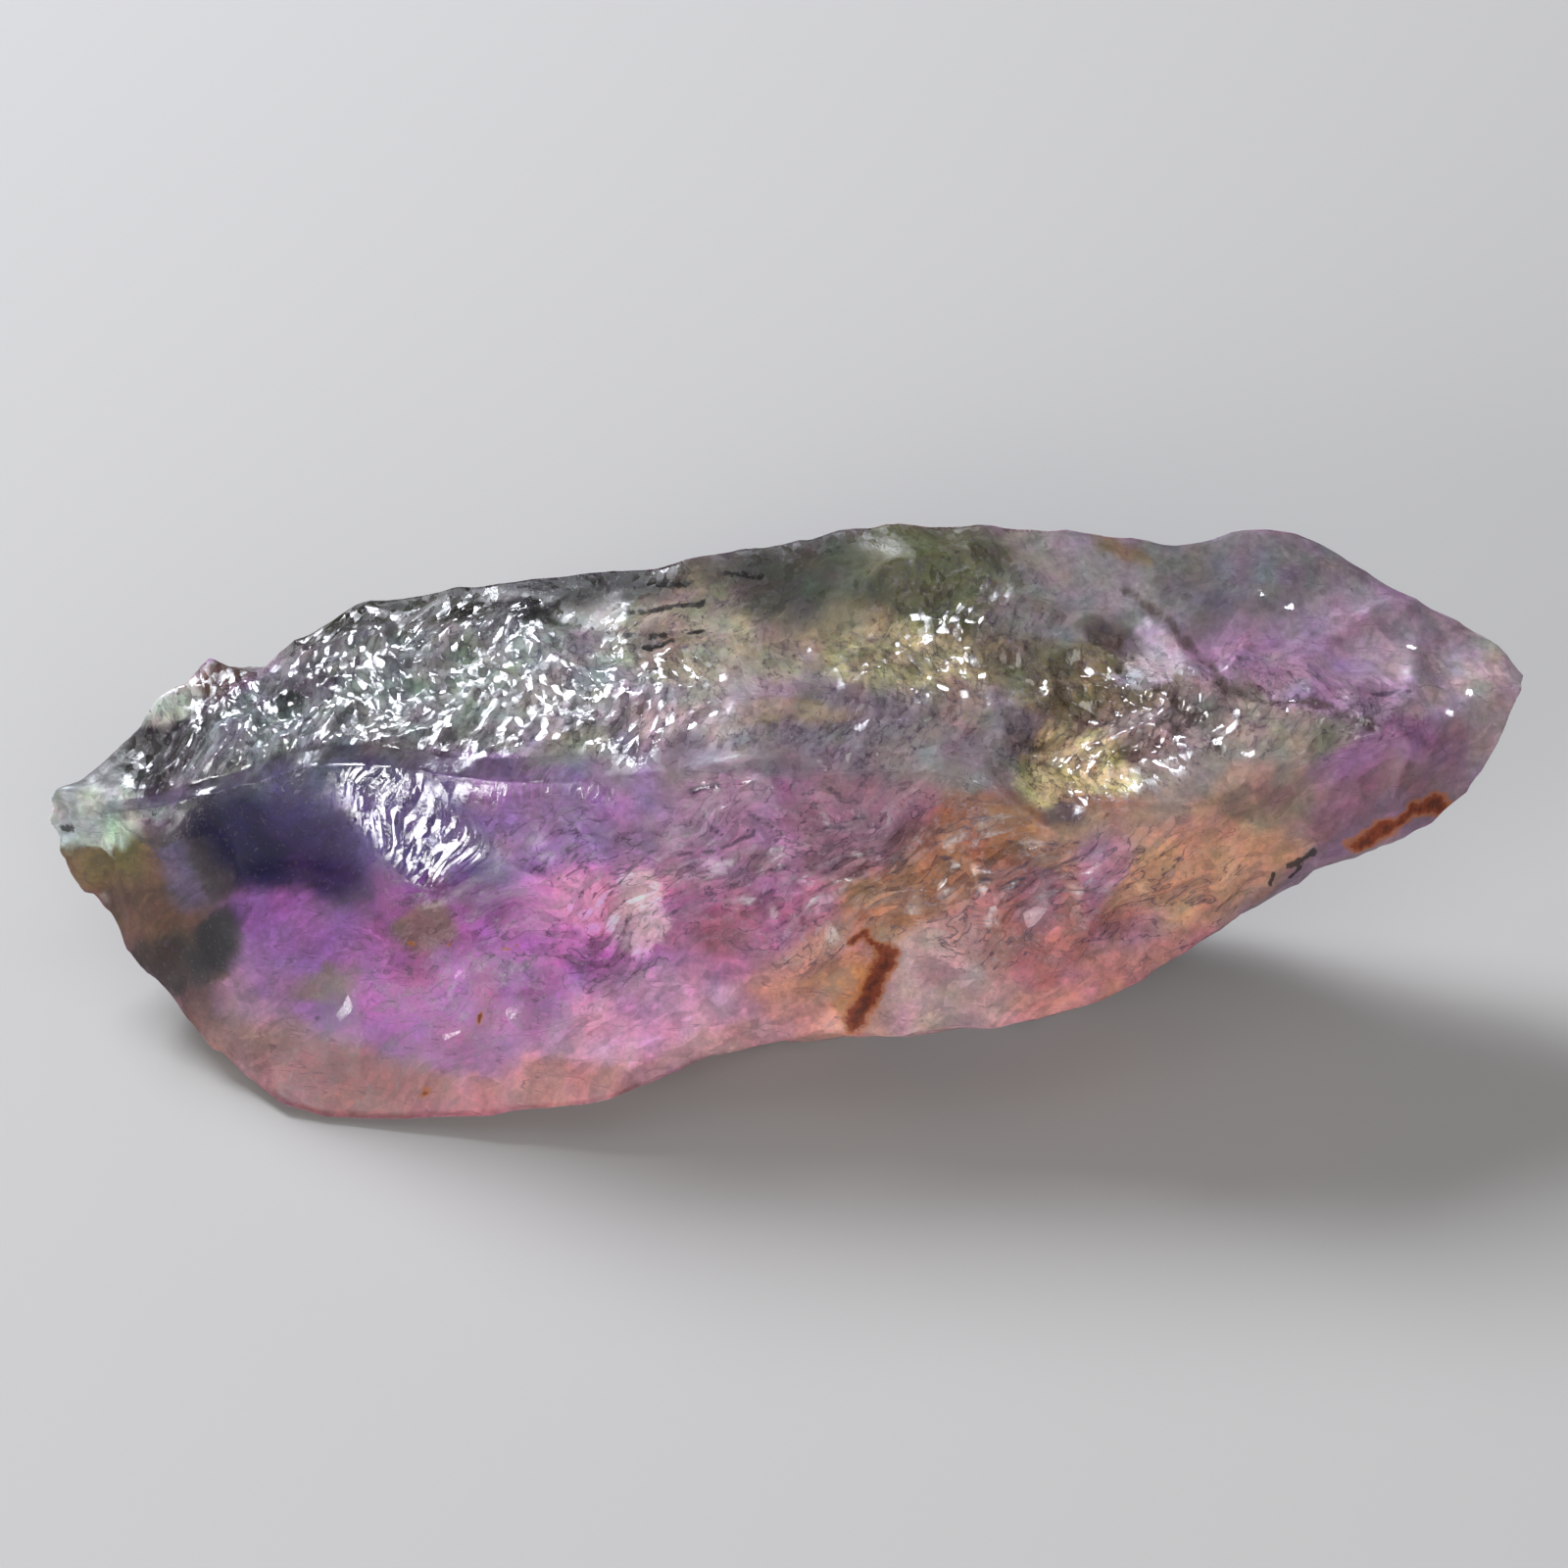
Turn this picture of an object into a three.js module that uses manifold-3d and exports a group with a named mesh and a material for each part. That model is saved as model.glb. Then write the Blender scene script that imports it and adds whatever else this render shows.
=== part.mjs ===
// Rough ametrine: one broken piece of quartz, 52 mm long, purple amethyst with brownish citrine patches.
// It lies on a small flat fracture face. Its skin is stretched over cross-sections, then flat faces, chips,
// hollows, lumps and a field of shallow fracture dishes are worked into it.
// Millimetres, +Z up. The origin is under the middle of the stone, on the surface that it rests on.
import * as THREE from "three";
import { mergeVertices } from "three/addons/utils/BufferGeometryUtils.js";
import Module from "manifold-3d";

const wasm = await Module();
wasm.setup();

const LEFT_TIP = [-27.3, 2.3, 5.9];
const RIGHT_TIP = [27.4, 2.8, 11.9];

// Cross-sections from left to right: x, then y and z of nine corners in order round the stone. The corners are
// the front edge, front middle, front ridge, ledge, top middle, back ridge, back belly, base back, base front.
const SECTIONS = [
  [-26.8, [1.5, 5.2], [1.3, 5.9], [1.8, 6.6], [2.1, 6.8], [2.5, 6.9],
    [2.9, 6.8], [3.3, 6.0], [3.0, 5.0], [2.2, 4.7]],
  [-25.8, [0.5, 4.5], [1.0, 5.7], [1.9, 6.7], [2.4, 6.9], [3.0, 7.0],
    [3.9, 6.8], [4.6, 5.6], [4.0, 4.2], [2.2, 3.6]],
  [-22.2, [-2.2, 2.5], [-0.9, 5.5], [1.1, 7.8], [1.6, 8.0], [3.6, 8.7],
    [6.1, 9.5], [6.9, 6.0], [5.6, 2.0], [1.2, 1.2]],
  [-18.8, [-5.8, 0.65], [-2.1, 7.0], [-0.3, 10.0], [0.6, 10.1], [2.8, 10.3],
    [5.5, 10.1], [7.3, 6.4], [5.4, 0.0], [-1.8, -0.2]],
  [-14.9, [-6.8, 0.4], [-2.6, 8.0], [-1.4, 11.6], [-0.6, 11.8], [2.5, 12.4],
    [6.5, 12.6], [7.6, 7.0], [5.2, -0.4], [-3.0, -0.4]],
  [-10.0, [-7.6, 0.9], [-4.3, 7.6], [-2.9, 12.1], [-2.0, 12.4], [2.0, 13.2],
    [6.5, 13.6], [7.5, 7.4], [5.0, -0.5], [-3.0, -0.5]],
  [-5.3, [-7.5, 2.1], [-5.0, 7.6], [-2.8, 12.2], [-1.6, 12.7], [2.0, 13.8],
    [6.4, 14.2], [7.3, 7.6], [4.8, -0.5], [-2.4, -0.5]],
  [-0.6, [-6.7, 3.6], [-5.0, 8.2], [-2.4, 12.6], [-1.0, 13.0], [2.2, 14.2],
    [6.8, 14.8], [7.5, 8.2], [5.0, -0.5], [-1.6, -0.5]],
  [4.5, [-6.8, 4.6], [-5.2, 8.6], [-2.3, 12.8], [-0.9, 13.1], [2.5, 14.6],
    [7.2, 15.4], [7.7, 8.8], [5.2, -0.5], [-1.2, -0.5]],
  [9.5, [-6.8, 5.0], [-5.4, 8.8], [-3.4, 12.0], [-2.6, 12.3], [2.0, 14.0],
    [6.9, 15.4], [7.5, 9.4], [5.2, -0.2], [-0.4, -0.2]],
  [13.6, [-5.2, 6.2], [-4.6, 9.2], [-4.0, 12.0], [-3.2, 12.4], [1.6, 14.0],
    [6.6, 15.1], [7.2, 10.2], [5.0, 2.0], [0.4, 1.6]],
  [17.6, [-3.1, 7.9], [-2.9, 9.8], [-2.2, 12.6], [-1.6, 12.9], [2.2, 14.4],
    [7.0, 15.4], [7.0, 10.8], [4.8, 4.4], [0.8, 4.0]],
  [21.5, [-1.6, 9.0], [-1.1, 11.0], [-0.4, 12.6], [0.2, 12.9], [2.4, 13.9],
    [5.0, 14.2], [5.8, 11.4], [4.4, 7.0], [1.2, 6.8]],
  [24.5, [0.1, 10.1], [0.5, 11.5], [1.6, 12.5], [2.2, 12.8], [3.2, 12.9],
    [4.3, 13.0], [5.0, 11.8], [3.8, 9.8], [1.8, 9.6]],
];

// The sides between the corners: first corner, middle corner (null if flat), last corner and rows of mesh.
const SIDES = [
  { name: "front", from: 0, middle: 1, to: 2, rows: 13 },
  { name: "ledge along the front ridge", from: 2, middle: null, to: 3, rows: 2 },
  { name: "top", from: 3, middle: 4, to: 5, rows: 13 },
  { name: "back", from: 5, middle: 6, to: 7, rows: 8 },
  { name: "base", from: 7, middle: null, to: 8, rows: 4 },
  { name: "underside rising to the front edge", from: 8, middle: null, to: 0, rows: 6 },
];
const COLUMNS_PER_SPAN = 6;

// The line inside the stone that its surface is measured from.
const SPINE = [
  [-22.0, 3.4, 5.6],
  [-15.0, 2.2, 5.2],
  [0.0, 2.2, 6.6],
  [12.0, 2.4, 8.6],
  [22.0, 2.7, 11.4],
];

// Flat fracture faces: a place on each and its way out.
const FLATS = [
  { at: [-26.0, 2.2, 5.0], out: [-0.56, -0.74, 0.37] }, // left end, front
  { at: [-23.6, 4.6, 6.6], out: [-0.6, 0.78, 0.2] }, // left end, back
  { at: [-20.6, 4.4, 2.0], out: [-0.6, 0.35, -0.7] }, // left end, under
  { at: [25.3, 3.0, 12.7], out: [0.78, 0.1, 0.62] }, // right tip, top
  { at: [25.0, 1.2, 11.3], out: [0.86, -0.32, -0.4] }, // right tip, front
  { at: [25.0, 4.4, 12.4], out: [0.6, 0.78, 0.2] }, // right tip, back
  { at: [15.6, 4.6, 4.0], out: [0.35, 0.25, -0.9] }, // right end, under
];

// Hollows, with a depth, and lumps, with a depth below 0. "soft" above 1 rounds the rim.
const HOLLOWS = [
  { at: [-18.1, -0.9, 8.5], half: [4.2, 3.4, 2.9], depth: 0.95, soft: 1.4 }, // violet hollow under the ridge
  { at: [-12.6, -2.6, 9.6], half: [2.4, 2.4, 2.6], depth: 0.35, soft: 1 }, // glinting face beside it
  { at: [-20.6, -2.0, 4.4], half: [1.7, 2.0, 2.4], depth: 0.45, soft: 1 }, // dark hollow in the left end
  { at: [-17.2, 2.4, 11.6], half: [2.2, 1.7, 2.0], depth: 0.7, soft: 1.5 }, // dark hollow in the top
  { at: [4.4, 2.6, 14.4], half: [3.2, 4.2, 2.4], depth: 0.45, soft: 1.5 }, // trough with the citrine patch
  { at: [8.2, -0.2, 13.2], half: [2.4, 2.6, 2.0], depth: 0.4, soft: 1.2 }, // its lower end
  { at: [10.7, -1.5, 12.9], half: [4.0, 3.3, 2.6], depth: 0.85, soft: 1.4 }, // bowl behind the front ridge
  { at: [12.4, 2.2, 14.0], half: [1.6, 2.2, 1.6], depth: 0.3, soft: 1 }, // small pale face
  { at: [18.0, 2.2, 14.4], half: [4.4, 3.4, 3.0], depth: 0.95, soft: 1 }, // smooth lilac hollow at the right
  { at: [21.8, 2.2, 13.6], half: [2.6, 2.4, 2.0], depth: 0.3, soft: 1 }, // its shallow right part
  { at: [-8.6, -3.6, 10.2], half: [2.3, 2.0, 1.7], depth: 0.25, soft: 1 }, // chips under the front ridge
  { at: [-4.4, -4.0, 10.0], half: [2.5, 2.0, 2.0], depth: 0.35, soft: 1 },
  { at: [0.4, -4.0, 10.4], half: [2.3, 2.0, 1.6], depth: 0.32, soft: 1 },
  { at: [4.6, -4.0, 10.2], half: [2.4, 2.0, 1.6], depth: 0.3, soft: 1 },
  { at: [8.2, -5.4, 8.4], half: [2.6, 2.0, 1.9], depth: 0.28, soft: 1 }, // chips in the right part of the front
  { at: [12.4, -5.4, 8.4], half: [2.4, 2.0, 2.2], depth: 0.3, soft: 1 },
  { at: [-5.8, -5.3, 7.2], half: [2.2, 2.0, 1.9], depth: 0.3, soft: 1 }, // pale fractured patch
  { at: [1.6, -6.6, 5.4], half: [2.0, 2.0, 1.7], depth: 0.3, soft: 1 }, // beside the rust crack
  { at: [18.8, -2.0, 11.6], half: [3.2, 2.0, 1.6], depth: 0.45, soft: 1 }, // over the fold at the lower right
  { at: [15.4, -3.8, 10.8], half: [1.8, 1.8, 1.5], depth: 0.28, soft: 1 }, // grey face beside it
  { at: [-12.5, -4.2, 6.6], half: [1.1, 1.4, 0.9], depth: 0.16, soft: 1 }, // two olive pits
  { at: [-16.2, -4.6, 4.2], half: [1.2, 1.4, 0.8], depth: 0.14, soft: 1 },
  { at: [-9.0, 7.6, 8.4], half: [6.0, 3.5, 4.5], depth: 0.9, soft: 1 }, // hollows in the back
  { at: [3.0, 8.0, 9.5], half: [5.0, 3.0, 4.0], depth: 0.7, soft: 1 },
  { at: [12.0, 7.4, 9.0], half: [4.6, 3.2, 4.6], depth: 0.9, soft: 1 },
  { at: [-1.0, 7.0, 3.6], half: [5.5, 3.5, 3.0], depth: 0.7, soft: 1 },
  { at: [18.5, 5.0, 6.0], half: [4.5, 3.5, 3.0], depth: 0.7, soft: 1 },
  { at: [10.0, -3.2, 2.6], half: [5.0, 3.0, 2.6], depth: 0.6, soft: 1 }, // hollows in the underside
  { at: [-2.0, -4.8, 1.6], half: [4.5, 2.6, 2.0], depth: 0.5, soft: 1 },
  { at: [18.0, -0.6, 6.2], half: [4.0, 2.6, 2.2], depth: 0.5, soft: 1 },
  { at: [-25.5, 2.2, 6.3], half: [1.6, 1.7, 1.5], depth: -1.05, soft: 1.2 }, // white knob at the left tip
  { at: [-25.4, 1.5, 4.8], half: [1.1, 1.3, 1.1], depth: -0.5, soft: 1 }, // smaller knob below it
  { at: [-24.4, 0.2, 3.4], half: [1.4, 1.6, 1.4], depth: 0.45, soft: 1 }, // notch in the edge of the left end
  { at: [-20.6, -3.4, 1.8], half: [1.5, 1.5, 1.5], depth: -0.45, soft: 1 }, // low lump on the edge beside them
  { at: [-22.3, 5.6, 8.8], half: [1.4, 1.6, 1.5], depth: -0.55, soft: 1.5 }, // lumps along the back, left
  { at: [-20.6, 5.6, 9.8], half: [1.0, 1.4, 1.2], depth: -0.35, soft: 1.5 },
  { at: [-17.2, 5.8, 10.8], half: [1.6, 1.8, 1.6], depth: -0.4, soft: 1.5 },
  { at: [14.2, 0.6, 13.8], half: [1.3, 2.6, 1.6], depth: -0.3, soft: 1.5 }, // crest left of the lilac hollow
];

// Where the surface is broken into small chips, and by how much.
const ROUGH_PLACES = [
  { at: [-14.5, 2.6, 12.2], half: [9.5, 5.0, 4.0], amount: 2.0 },
  { at: [10.8, -1.4, 12.8], half: [4.2, 3.4, 2.6], amount: 1.6 },
  { at: [-12.4, -2.6, 9.6], half: [3.2, 3.0, 3.2], amount: 0.5 },
  { at: [-6.0, 0.8, 13.2], half: [4.5, 3.5, 2.6], amount: 1.1 },
  { at: [5.6, 2.0, 14.4], half: [4.5, 4.5, 2.5], amount: 0.7 },
  { at: [2.0, -4.6, 9.4], half: [9.5, 3.5, 3.8], amount: 0.85 },
  { at: [-11.0, -5.2, 5.8], half: [8.0, 3.2, 4.0], amount: 0.35 },
  { at: [11.0, -5.2, 8.0], half: [7.0, 3.2, 3.6], amount: 0.35 },
  { at: [14.5, 0.2, 13.6], half: [7.0, 3.0, 2.0], amount: 0.5 },
  { at: [-5.8, -5.2, 7.4], half: [2.6, 2.4, 2.4], amount: 0.9 },
  { at: [-1.0, 9.0, 7.0], half: [26.0, 5.0, 12.0], amount: 0.8 },
];
const BROAD = { size: 6.0, relief: 0.12, stretch: [0.85, 1.1, 1.1], seed: 3 };
const CHIPS = { size: 2.6, relief: 0.2, stretch: [0.8, 1.2, 1.2], seed: 5 };

const clamp = (value, low, high) => Math.max(low, Math.min(high, value));
const dot = (a, b) => a[0] * b[0] + a[1] * b[1] + a[2] * b[2];
const minus = (a, b) => [a[0] - b[0], a[1] - b[1], a[2] - b[2]];
const between = (a, b, t) => a.map((value, i) => value + (b[i] - value) * t);

// The squared distance from a place, in shares of three half widths.
function reach(p, at, half) {
  return ((p[0] - at[0]) / half[0]) ** 2 + ((p[1] - at[1]) / half[1]) ** 2 + ((p[2] - at[2]) / half[2]) ** 2;
}

// A smooth curve through p1 and p2, with p0 and p3 beyond them, at a share t of the way.
function smoothBetween(p0, p1, p2, p3, t) {
  const bend = (2 * p0 - 5 * p1 + 4 * p2 - p3) * t * t + (3 * p1 - p0 - 3 * p2 + p3) * t ** 3;
  return 0.5 * (2 * p1 + (p2 - p0) * t + bend);
}

const SPANS = SECTIONS.length + 1;
const EDGES = SECTIONS[0].slice(1).map((_, k) => [
  LEFT_TIP,
  ...SECTIONS.map((section) => [section[0], ...section[1 + k]]),
  RIGHT_TIP,
]);

// The point on edge k at station s, which runs from 0 at the left tip to SPANS at the right tip.
function edgeAt(k, s) {
  const i = Math.min(Math.floor(s), SPANS - 1);
  const [p0, p1, p2, p3] = [i - 1, i, i + 1, i + 2].map((j) => EDGES[k][clamp(j, 0, SPANS)]);
  return p1.map((_, axis) => smoothBetween(p0[axis], p1[axis], p2[axis], p3[axis], s - i));
}

// The point at a share t across a side: on the parabola through its three corners, or on a straight line.
function sideAt(side, s, t) {
  const a = edgeAt(side.from, s);
  const b = edgeAt(side.to, s);
  if (side.middle === null) return between(a, b, t);
  const m = edgeAt(side.middle, s);
  return a.map((value, i) => value * (1 - t) * (1 - 2 * t) + m[i] * 4 * t * (1 - t) + b[i] * t * (2 * t - 1));
}

// The point of the spine beside a place.
function spineAt(p) {
  const x = clamp(p[0], SPINE[0][0], SPINE[SPINE.length - 1][0]);
  const i = clamp(SPINE.findIndex((q) => q[0] >= x), 1, SPINE.length - 1);
  return between(SPINE[i - 1], SPINE[i], (x - SPINE[i - 1][0]) / (SPINE[i][0] - SPINE[i - 1][0]));
}

// A place beyond a flat face is drawn toward the spine until it lies on the face.
function cutFlat(p, flat) {
  const q = spineAt(p);
  const over = dot(minus(p, flat.at), flat.out);
  const inside = dot(minus(q, flat.at), flat.out);
  return over > 0 && inside < 0 ? between(q, p, inside / (inside - over)) : p;
}

// Bends places by up to about 0.5 mm, so that no hollow has a round outline.
function wobble([x, y, z]) {
  return [
    x + 0.36 * Math.sin(y + 0.8 * z + 0.5) + 0.1 * Math.sin(2.9 * z - 2.3 * y + 0.7 * x + 2.0),
    y + 0.36 * Math.sin(0.9 * x + 0.9 * z + 1.7) + 0.1 * Math.sin(2.6 * x - 2.1 * z + 0.4),
    z + 0.36 * Math.sin(0.9 * x - 0.8 * y + 3.1) + 0.1 * Math.sin(2.7 * y + 2.2 * x + 5.0),
  ];
}

// A repeatable number from 0 to 1 for a whole-numbered cell.
function scatter(cell, seed, k) {
  const v = Math.sin(cell[0] * 127.1 + cell[1] * 311.7 + cell[2] * 74.7 + seed * 53.3 + k * 19.19) * 43758.5453;
  return v - Math.floor(v);
}

// The height of dished fracture faces that meet in crests: the lowest of the leaning bowls of the cells around.
function dishes(p, field) {
  const q = p.map((value, i) => (value * field.stretch[i]) / field.size);
  let lowest = Infinity;
  for (const i of [-1, 0, 1])
    for (const j of [-1, 0, 1])
      for (const k of [-1, 0, 1]) {
        const cell = [Math.floor(q[0]) + i, Math.floor(q[1]) + j, Math.floor(q[2]) + k];
        const from = q.map((value, n) => value - cell[n] - scatter(cell, field.seed, n));
        const lean = [3, 4, 5].map((n) => scatter(cell, field.seed, n) * 2 - 1);
        lowest = Math.min(lowest, dot(from, from) + 0.5 * dot(from, lean));
      }
  return lowest - 0.15;
}

// How rough the stone is at a place.
function roughness(p) {
  let total = 0.25;
  for (const place of ROUGH_PLACES) total += place.amount * clamp(1 - reach(p, place.at, place.half), 0, 1);
  return Math.min(total, 1.8);
}

// How far the surface stands out from the plain skin at a place.
function reliefAt(p) {
  const w = wobble(p);
  const chips = dishes(w, CHIPS);
  let height = BROAD.size * BROAD.relief * dishes(w, BROAD);
  height += CHIPS.size * CHIPS.relief * (0.2 + 0.5 * roughness(w)) * chips;
  for (const hollow of HOLLOWS) {
    const inside = clamp(1 - reach(w, hollow.at, hollow.half) - 0.7 * chips, 0, 1);
    height -= hollow.depth * inside ** hollow.soft;
  }
  return height;
}

// One place of the finished surface.
function surfaceAt(p) {
  let place = p;
  for (const flat of FLATS) place = cutFlat(place, flat);
  const q = spineAt(place);
  const length = Math.sqrt(dot(minus(place, q), minus(place, q)));
  return between(q, place, 1 + reliefAt(place) / length);
}

function stoneGeometry() {
  const columns = SPANS * COLUMNS_PER_SPAN;
  const rows = SIDES.reduce((sum, side) => sum + side.rows, 0);
  const positions = [...surfaceAt(LEFT_TIP)];
  for (let c = 1; c < columns; c++)
    for (const side of SIDES)
      for (let r = 0; r < side.rows; r++)
        positions.push(...surfaceAt(sideAt(side, c / COLUMNS_PER_SPAN, r / side.rows)));
  positions.push(...surfaceAt(RIGHT_TIP));
  const last = positions.length / 3 - 1;
  const at = (c, r) => 1 + (c - 1) * rows + (r % rows);
  const faces = [];
  for (let r = 0; r < rows; r++) {
    faces.push(0, at(1, r), at(1, r + 1));
    faces.push(last, at(columns - 1, r + 1), at(columns - 1, r));
  }
  for (let c = 1; c < columns - 1; c++)
    for (let r = 0; r < rows; r++) {
      faces.push(at(c, r), at(c + 1, r), at(c + 1, r + 1));
      faces.push(at(c, r), at(c + 1, r + 1), at(c, r + 1));
    }
  return new THREE.BufferGeometry()
    .setAttribute("position", new THREE.Float32BufferAttribute(positions, 3))
    .setIndex(faces);
}

function solidOf(geometry) {
  const plain = geometry.clone();
  plain.deleteAttribute("normal");
  plain.deleteAttribute("uv");
  const merged = mergeVertices(plain, 1e-4);
  return new wasm.Manifold(
    new wasm.Mesh({
      numProp: 3,
      vertProperties: merged.attributes.position.array,
      triVerts: new Uint32Array(merged.index.array),
    }),
  );
}

function geometryOf(solid) {
  const mesh = solid.getMesh();
  return new THREE.BufferGeometry()
    .setAttribute("position", new THREE.BufferAttribute(mesh.vertProperties, 3))
    .setIndex(new THREE.BufferAttribute(mesh.triVerts, 1));
}

// The base is cut flat, so that the stone stands on a true face.
const GROUND = new THREE.BoxGeometry(80, 40, 10).translate(0, 0, -5);
const stone = new THREE.Mesh(
  geometryOf(solidOf(stoneGeometry()).subtract(solidOf(GROUND))),
  new THREE.MeshStandardMaterial({ color: 0x9a7fae, roughness: 0.35, metalness: 0 }),
);
stone.name = "ametrine";
const group = new THREE.Group();
group.add(stone);
export default group;
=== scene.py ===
"""Rough ametrine: the finished surface, colours and light of one broken piece of quartz.

The stone's shape repeats the solid's cross-sections, flat faces, hollows and dishes, in millimetres, on a
grid fine enough for its crinkles and grit. Everything else is the material, a pale floor and soft light.
"""
import math
from types import SimpleNamespace

import bpy
import numpy as np
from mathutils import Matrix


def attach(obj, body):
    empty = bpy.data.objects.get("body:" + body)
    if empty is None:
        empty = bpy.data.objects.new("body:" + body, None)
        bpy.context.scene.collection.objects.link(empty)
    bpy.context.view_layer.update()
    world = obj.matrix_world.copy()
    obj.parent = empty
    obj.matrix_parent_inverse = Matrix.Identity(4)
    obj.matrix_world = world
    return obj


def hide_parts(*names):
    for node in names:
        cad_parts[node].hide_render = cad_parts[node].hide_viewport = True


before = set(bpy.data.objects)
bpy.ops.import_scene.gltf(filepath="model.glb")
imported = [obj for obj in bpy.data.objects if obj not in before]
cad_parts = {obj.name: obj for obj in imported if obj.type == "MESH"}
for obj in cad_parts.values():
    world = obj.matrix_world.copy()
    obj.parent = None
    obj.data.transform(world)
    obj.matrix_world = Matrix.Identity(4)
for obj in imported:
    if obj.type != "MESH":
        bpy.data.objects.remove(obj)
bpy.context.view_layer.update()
MM = 0.001

# the photo's view: 38 degrees down from 150 mm away, 1600 pixels across 53.3 mm at the stone
VIEW_ELEVATION = math.radians(38)
VIEW_DISTANCE = 0.150
VIEW_TARGET = (-0.0001, -0.003, 0.012)
FRAME_PIXELS = 1600
PIXELS_PER_METRE = 30000
SENSOR_MM = 36
NEAREST_SEEN = 0.01

# the way up the picture in that view, and the way toward the viewer
RISE = np.array([0, math.sin(VIEW_ELEVATION), math.cos(VIEW_ELEVATION)])
TOWARD = np.array([0, -math.cos(VIEW_ELEVATION), math.sin(VIEW_ELEVATION)])

# The shape, in mm, as in the solid

LEFT_TIP = (-27.3, 2.3, 5.9)
RIGHT_TIP = (27.4, 2.8, 11.9)

# x, then y and z of nine corners round the stone: front edge, front middle, front ridge, ledge, top middle,
# back ridge, back belly, base back, base front
SECTIONS = [
    (-26.8, (1.5, 5.2), (1.3, 5.9), (1.8, 6.6), (2.1, 6.8), (2.5, 6.9),
     (2.9, 6.8), (3.3, 6.0), (3.0, 5.0), (2.2, 4.7)),
    (-25.8, (0.5, 4.5), (1.0, 5.7), (1.9, 6.7), (2.4, 6.9), (3.0, 7.0),
     (3.9, 6.8), (4.6, 5.6), (4.0, 4.2), (2.2, 3.6)),
    (-22.2, (-2.2, 2.5), (-0.9, 5.5), (1.1, 7.8), (1.6, 8.0), (3.6, 8.7),
     (6.1, 9.5), (6.9, 6.0), (5.6, 2.0), (1.2, 1.2)),
    (-18.8, (-5.8, 0.65), (-2.1, 7.0), (-0.3, 10.0), (0.6, 10.1), (2.8, 10.3),
     (5.5, 10.1), (7.3, 6.4), (5.4, 0.0), (-1.8, -0.2)),
    (-14.9, (-6.8, 0.4), (-2.6, 8.0), (-1.4, 11.6), (-0.6, 11.8), (2.5, 12.4),
     (6.5, 12.6), (7.6, 7.0), (5.2, -0.4), (-3.0, -0.4)),
    (-10.0, (-7.6, 0.9), (-4.3, 7.6), (-2.9, 12.1), (-2.0, 12.4), (2.0, 13.2),
     (6.5, 13.6), (7.5, 7.4), (5.0, -0.5), (-3.0, -0.5)),
    (-5.3, (-7.5, 2.1), (-5.0, 7.6), (-2.8, 12.2), (-1.6, 12.7), (2.0, 13.8),
     (6.4, 14.2), (7.3, 7.6), (4.8, -0.5), (-2.4, -0.5)),
    (-0.6, (-6.7, 3.6), (-5.0, 8.2), (-2.4, 12.6), (-1.0, 13.0), (2.2, 14.2),
     (6.8, 14.8), (7.5, 8.2), (5.0, -0.5), (-1.6, -0.5)),
    (4.5, (-6.8, 4.6), (-5.2, 8.6), (-2.3, 12.8), (-0.9, 13.1), (2.5, 14.6),
     (7.2, 15.4), (7.7, 8.8), (5.2, -0.5), (-1.2, -0.5)),
    (9.5, (-6.8, 5.0), (-5.4, 8.8), (-3.4, 12.0), (-2.6, 12.3), (2.0, 14.0),
     (6.9, 15.4), (7.5, 9.4), (5.2, -0.2), (-0.4, -0.2)),
    (13.6, (-5.2, 6.2), (-4.6, 9.2), (-4.0, 12.0), (-3.2, 12.4), (1.6, 14.0),
     (6.6, 15.1), (7.2, 10.2), (5.0, 2.0), (0.4, 1.6)),
    (17.6, (-3.1, 7.9), (-2.9, 9.8), (-2.2, 12.6), (-1.6, 12.9), (2.2, 14.4),
     (7.0, 15.4), (7.0, 10.8), (4.8, 4.4), (0.8, 4.0)),
    (21.5, (-1.6, 9.0), (-1.1, 11.0), (-0.4, 12.6), (0.2, 12.9), (2.4, 13.9),
     (5.0, 14.2), (5.8, 11.4), (4.4, 7.0), (1.2, 6.8)),
    (24.5, (0.1, 10.1), (0.5, 11.5), (1.6, 12.5), (2.2, 12.8), (3.2, 12.9),
     (4.3, 13.0), (5.0, 11.8), (3.8, 9.8), (1.8, 9.6)),
]

# first corner, middle corner or None for a flat side, last corner, rows of mesh
SIDES = [
    (0, 1, 2, 72),
    (2, None, 3, 8),
    (3, 4, 5, 72),
    (5, 6, 7, 40),
    (7, None, 8, 8),
    (8, None, 0, 30),
]
ROWS = sum(side[3] for side in SIDES)
FRONT_ROWS = SIDES[0][3]
LEDGE_ROWS = SIDES[1][3]
COLUMNS = 405

# the share of the front below its ridge over which it fades
FRONT_FADE = 0.125
# x where the ledge begins, is whole, is whole for the last time, and ends
LEDGE_X = (-25, -23, -9, -6)

# the inner line that places are moved away from by relief, and toward by flat faces
SPINE = np.array([(-22.0, 3.4, 5.6), (-15.0, 2.2, 5.2), (0.0, 2.2, 6.6), (12.0, 2.4, 8.6), (22.0, 2.7, 11.4)])

# flat fracture faces: a place on each and its way out
FLATS = [
    ((-26.0, 2.2, 5.0), (-0.56, -0.74, 0.37)),
    ((-23.6, 4.6, 6.6), (-0.6, 0.78, 0.2)),
    ((-20.6, 4.4, 2.0), (-0.6, 0.35, -0.7)),
    ((25.3, 3.0, 12.7), (0.78, 0.1, 0.62)),
    ((25.0, 1.2, 11.3), (0.86, -0.32, -0.40)),
    ((25.0, 4.4, 12.4), (0.6, 0.78, 0.2)),
    ((15.6, 4.6, 4.0), (0.35, 0.25, -0.9)),
]

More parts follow.
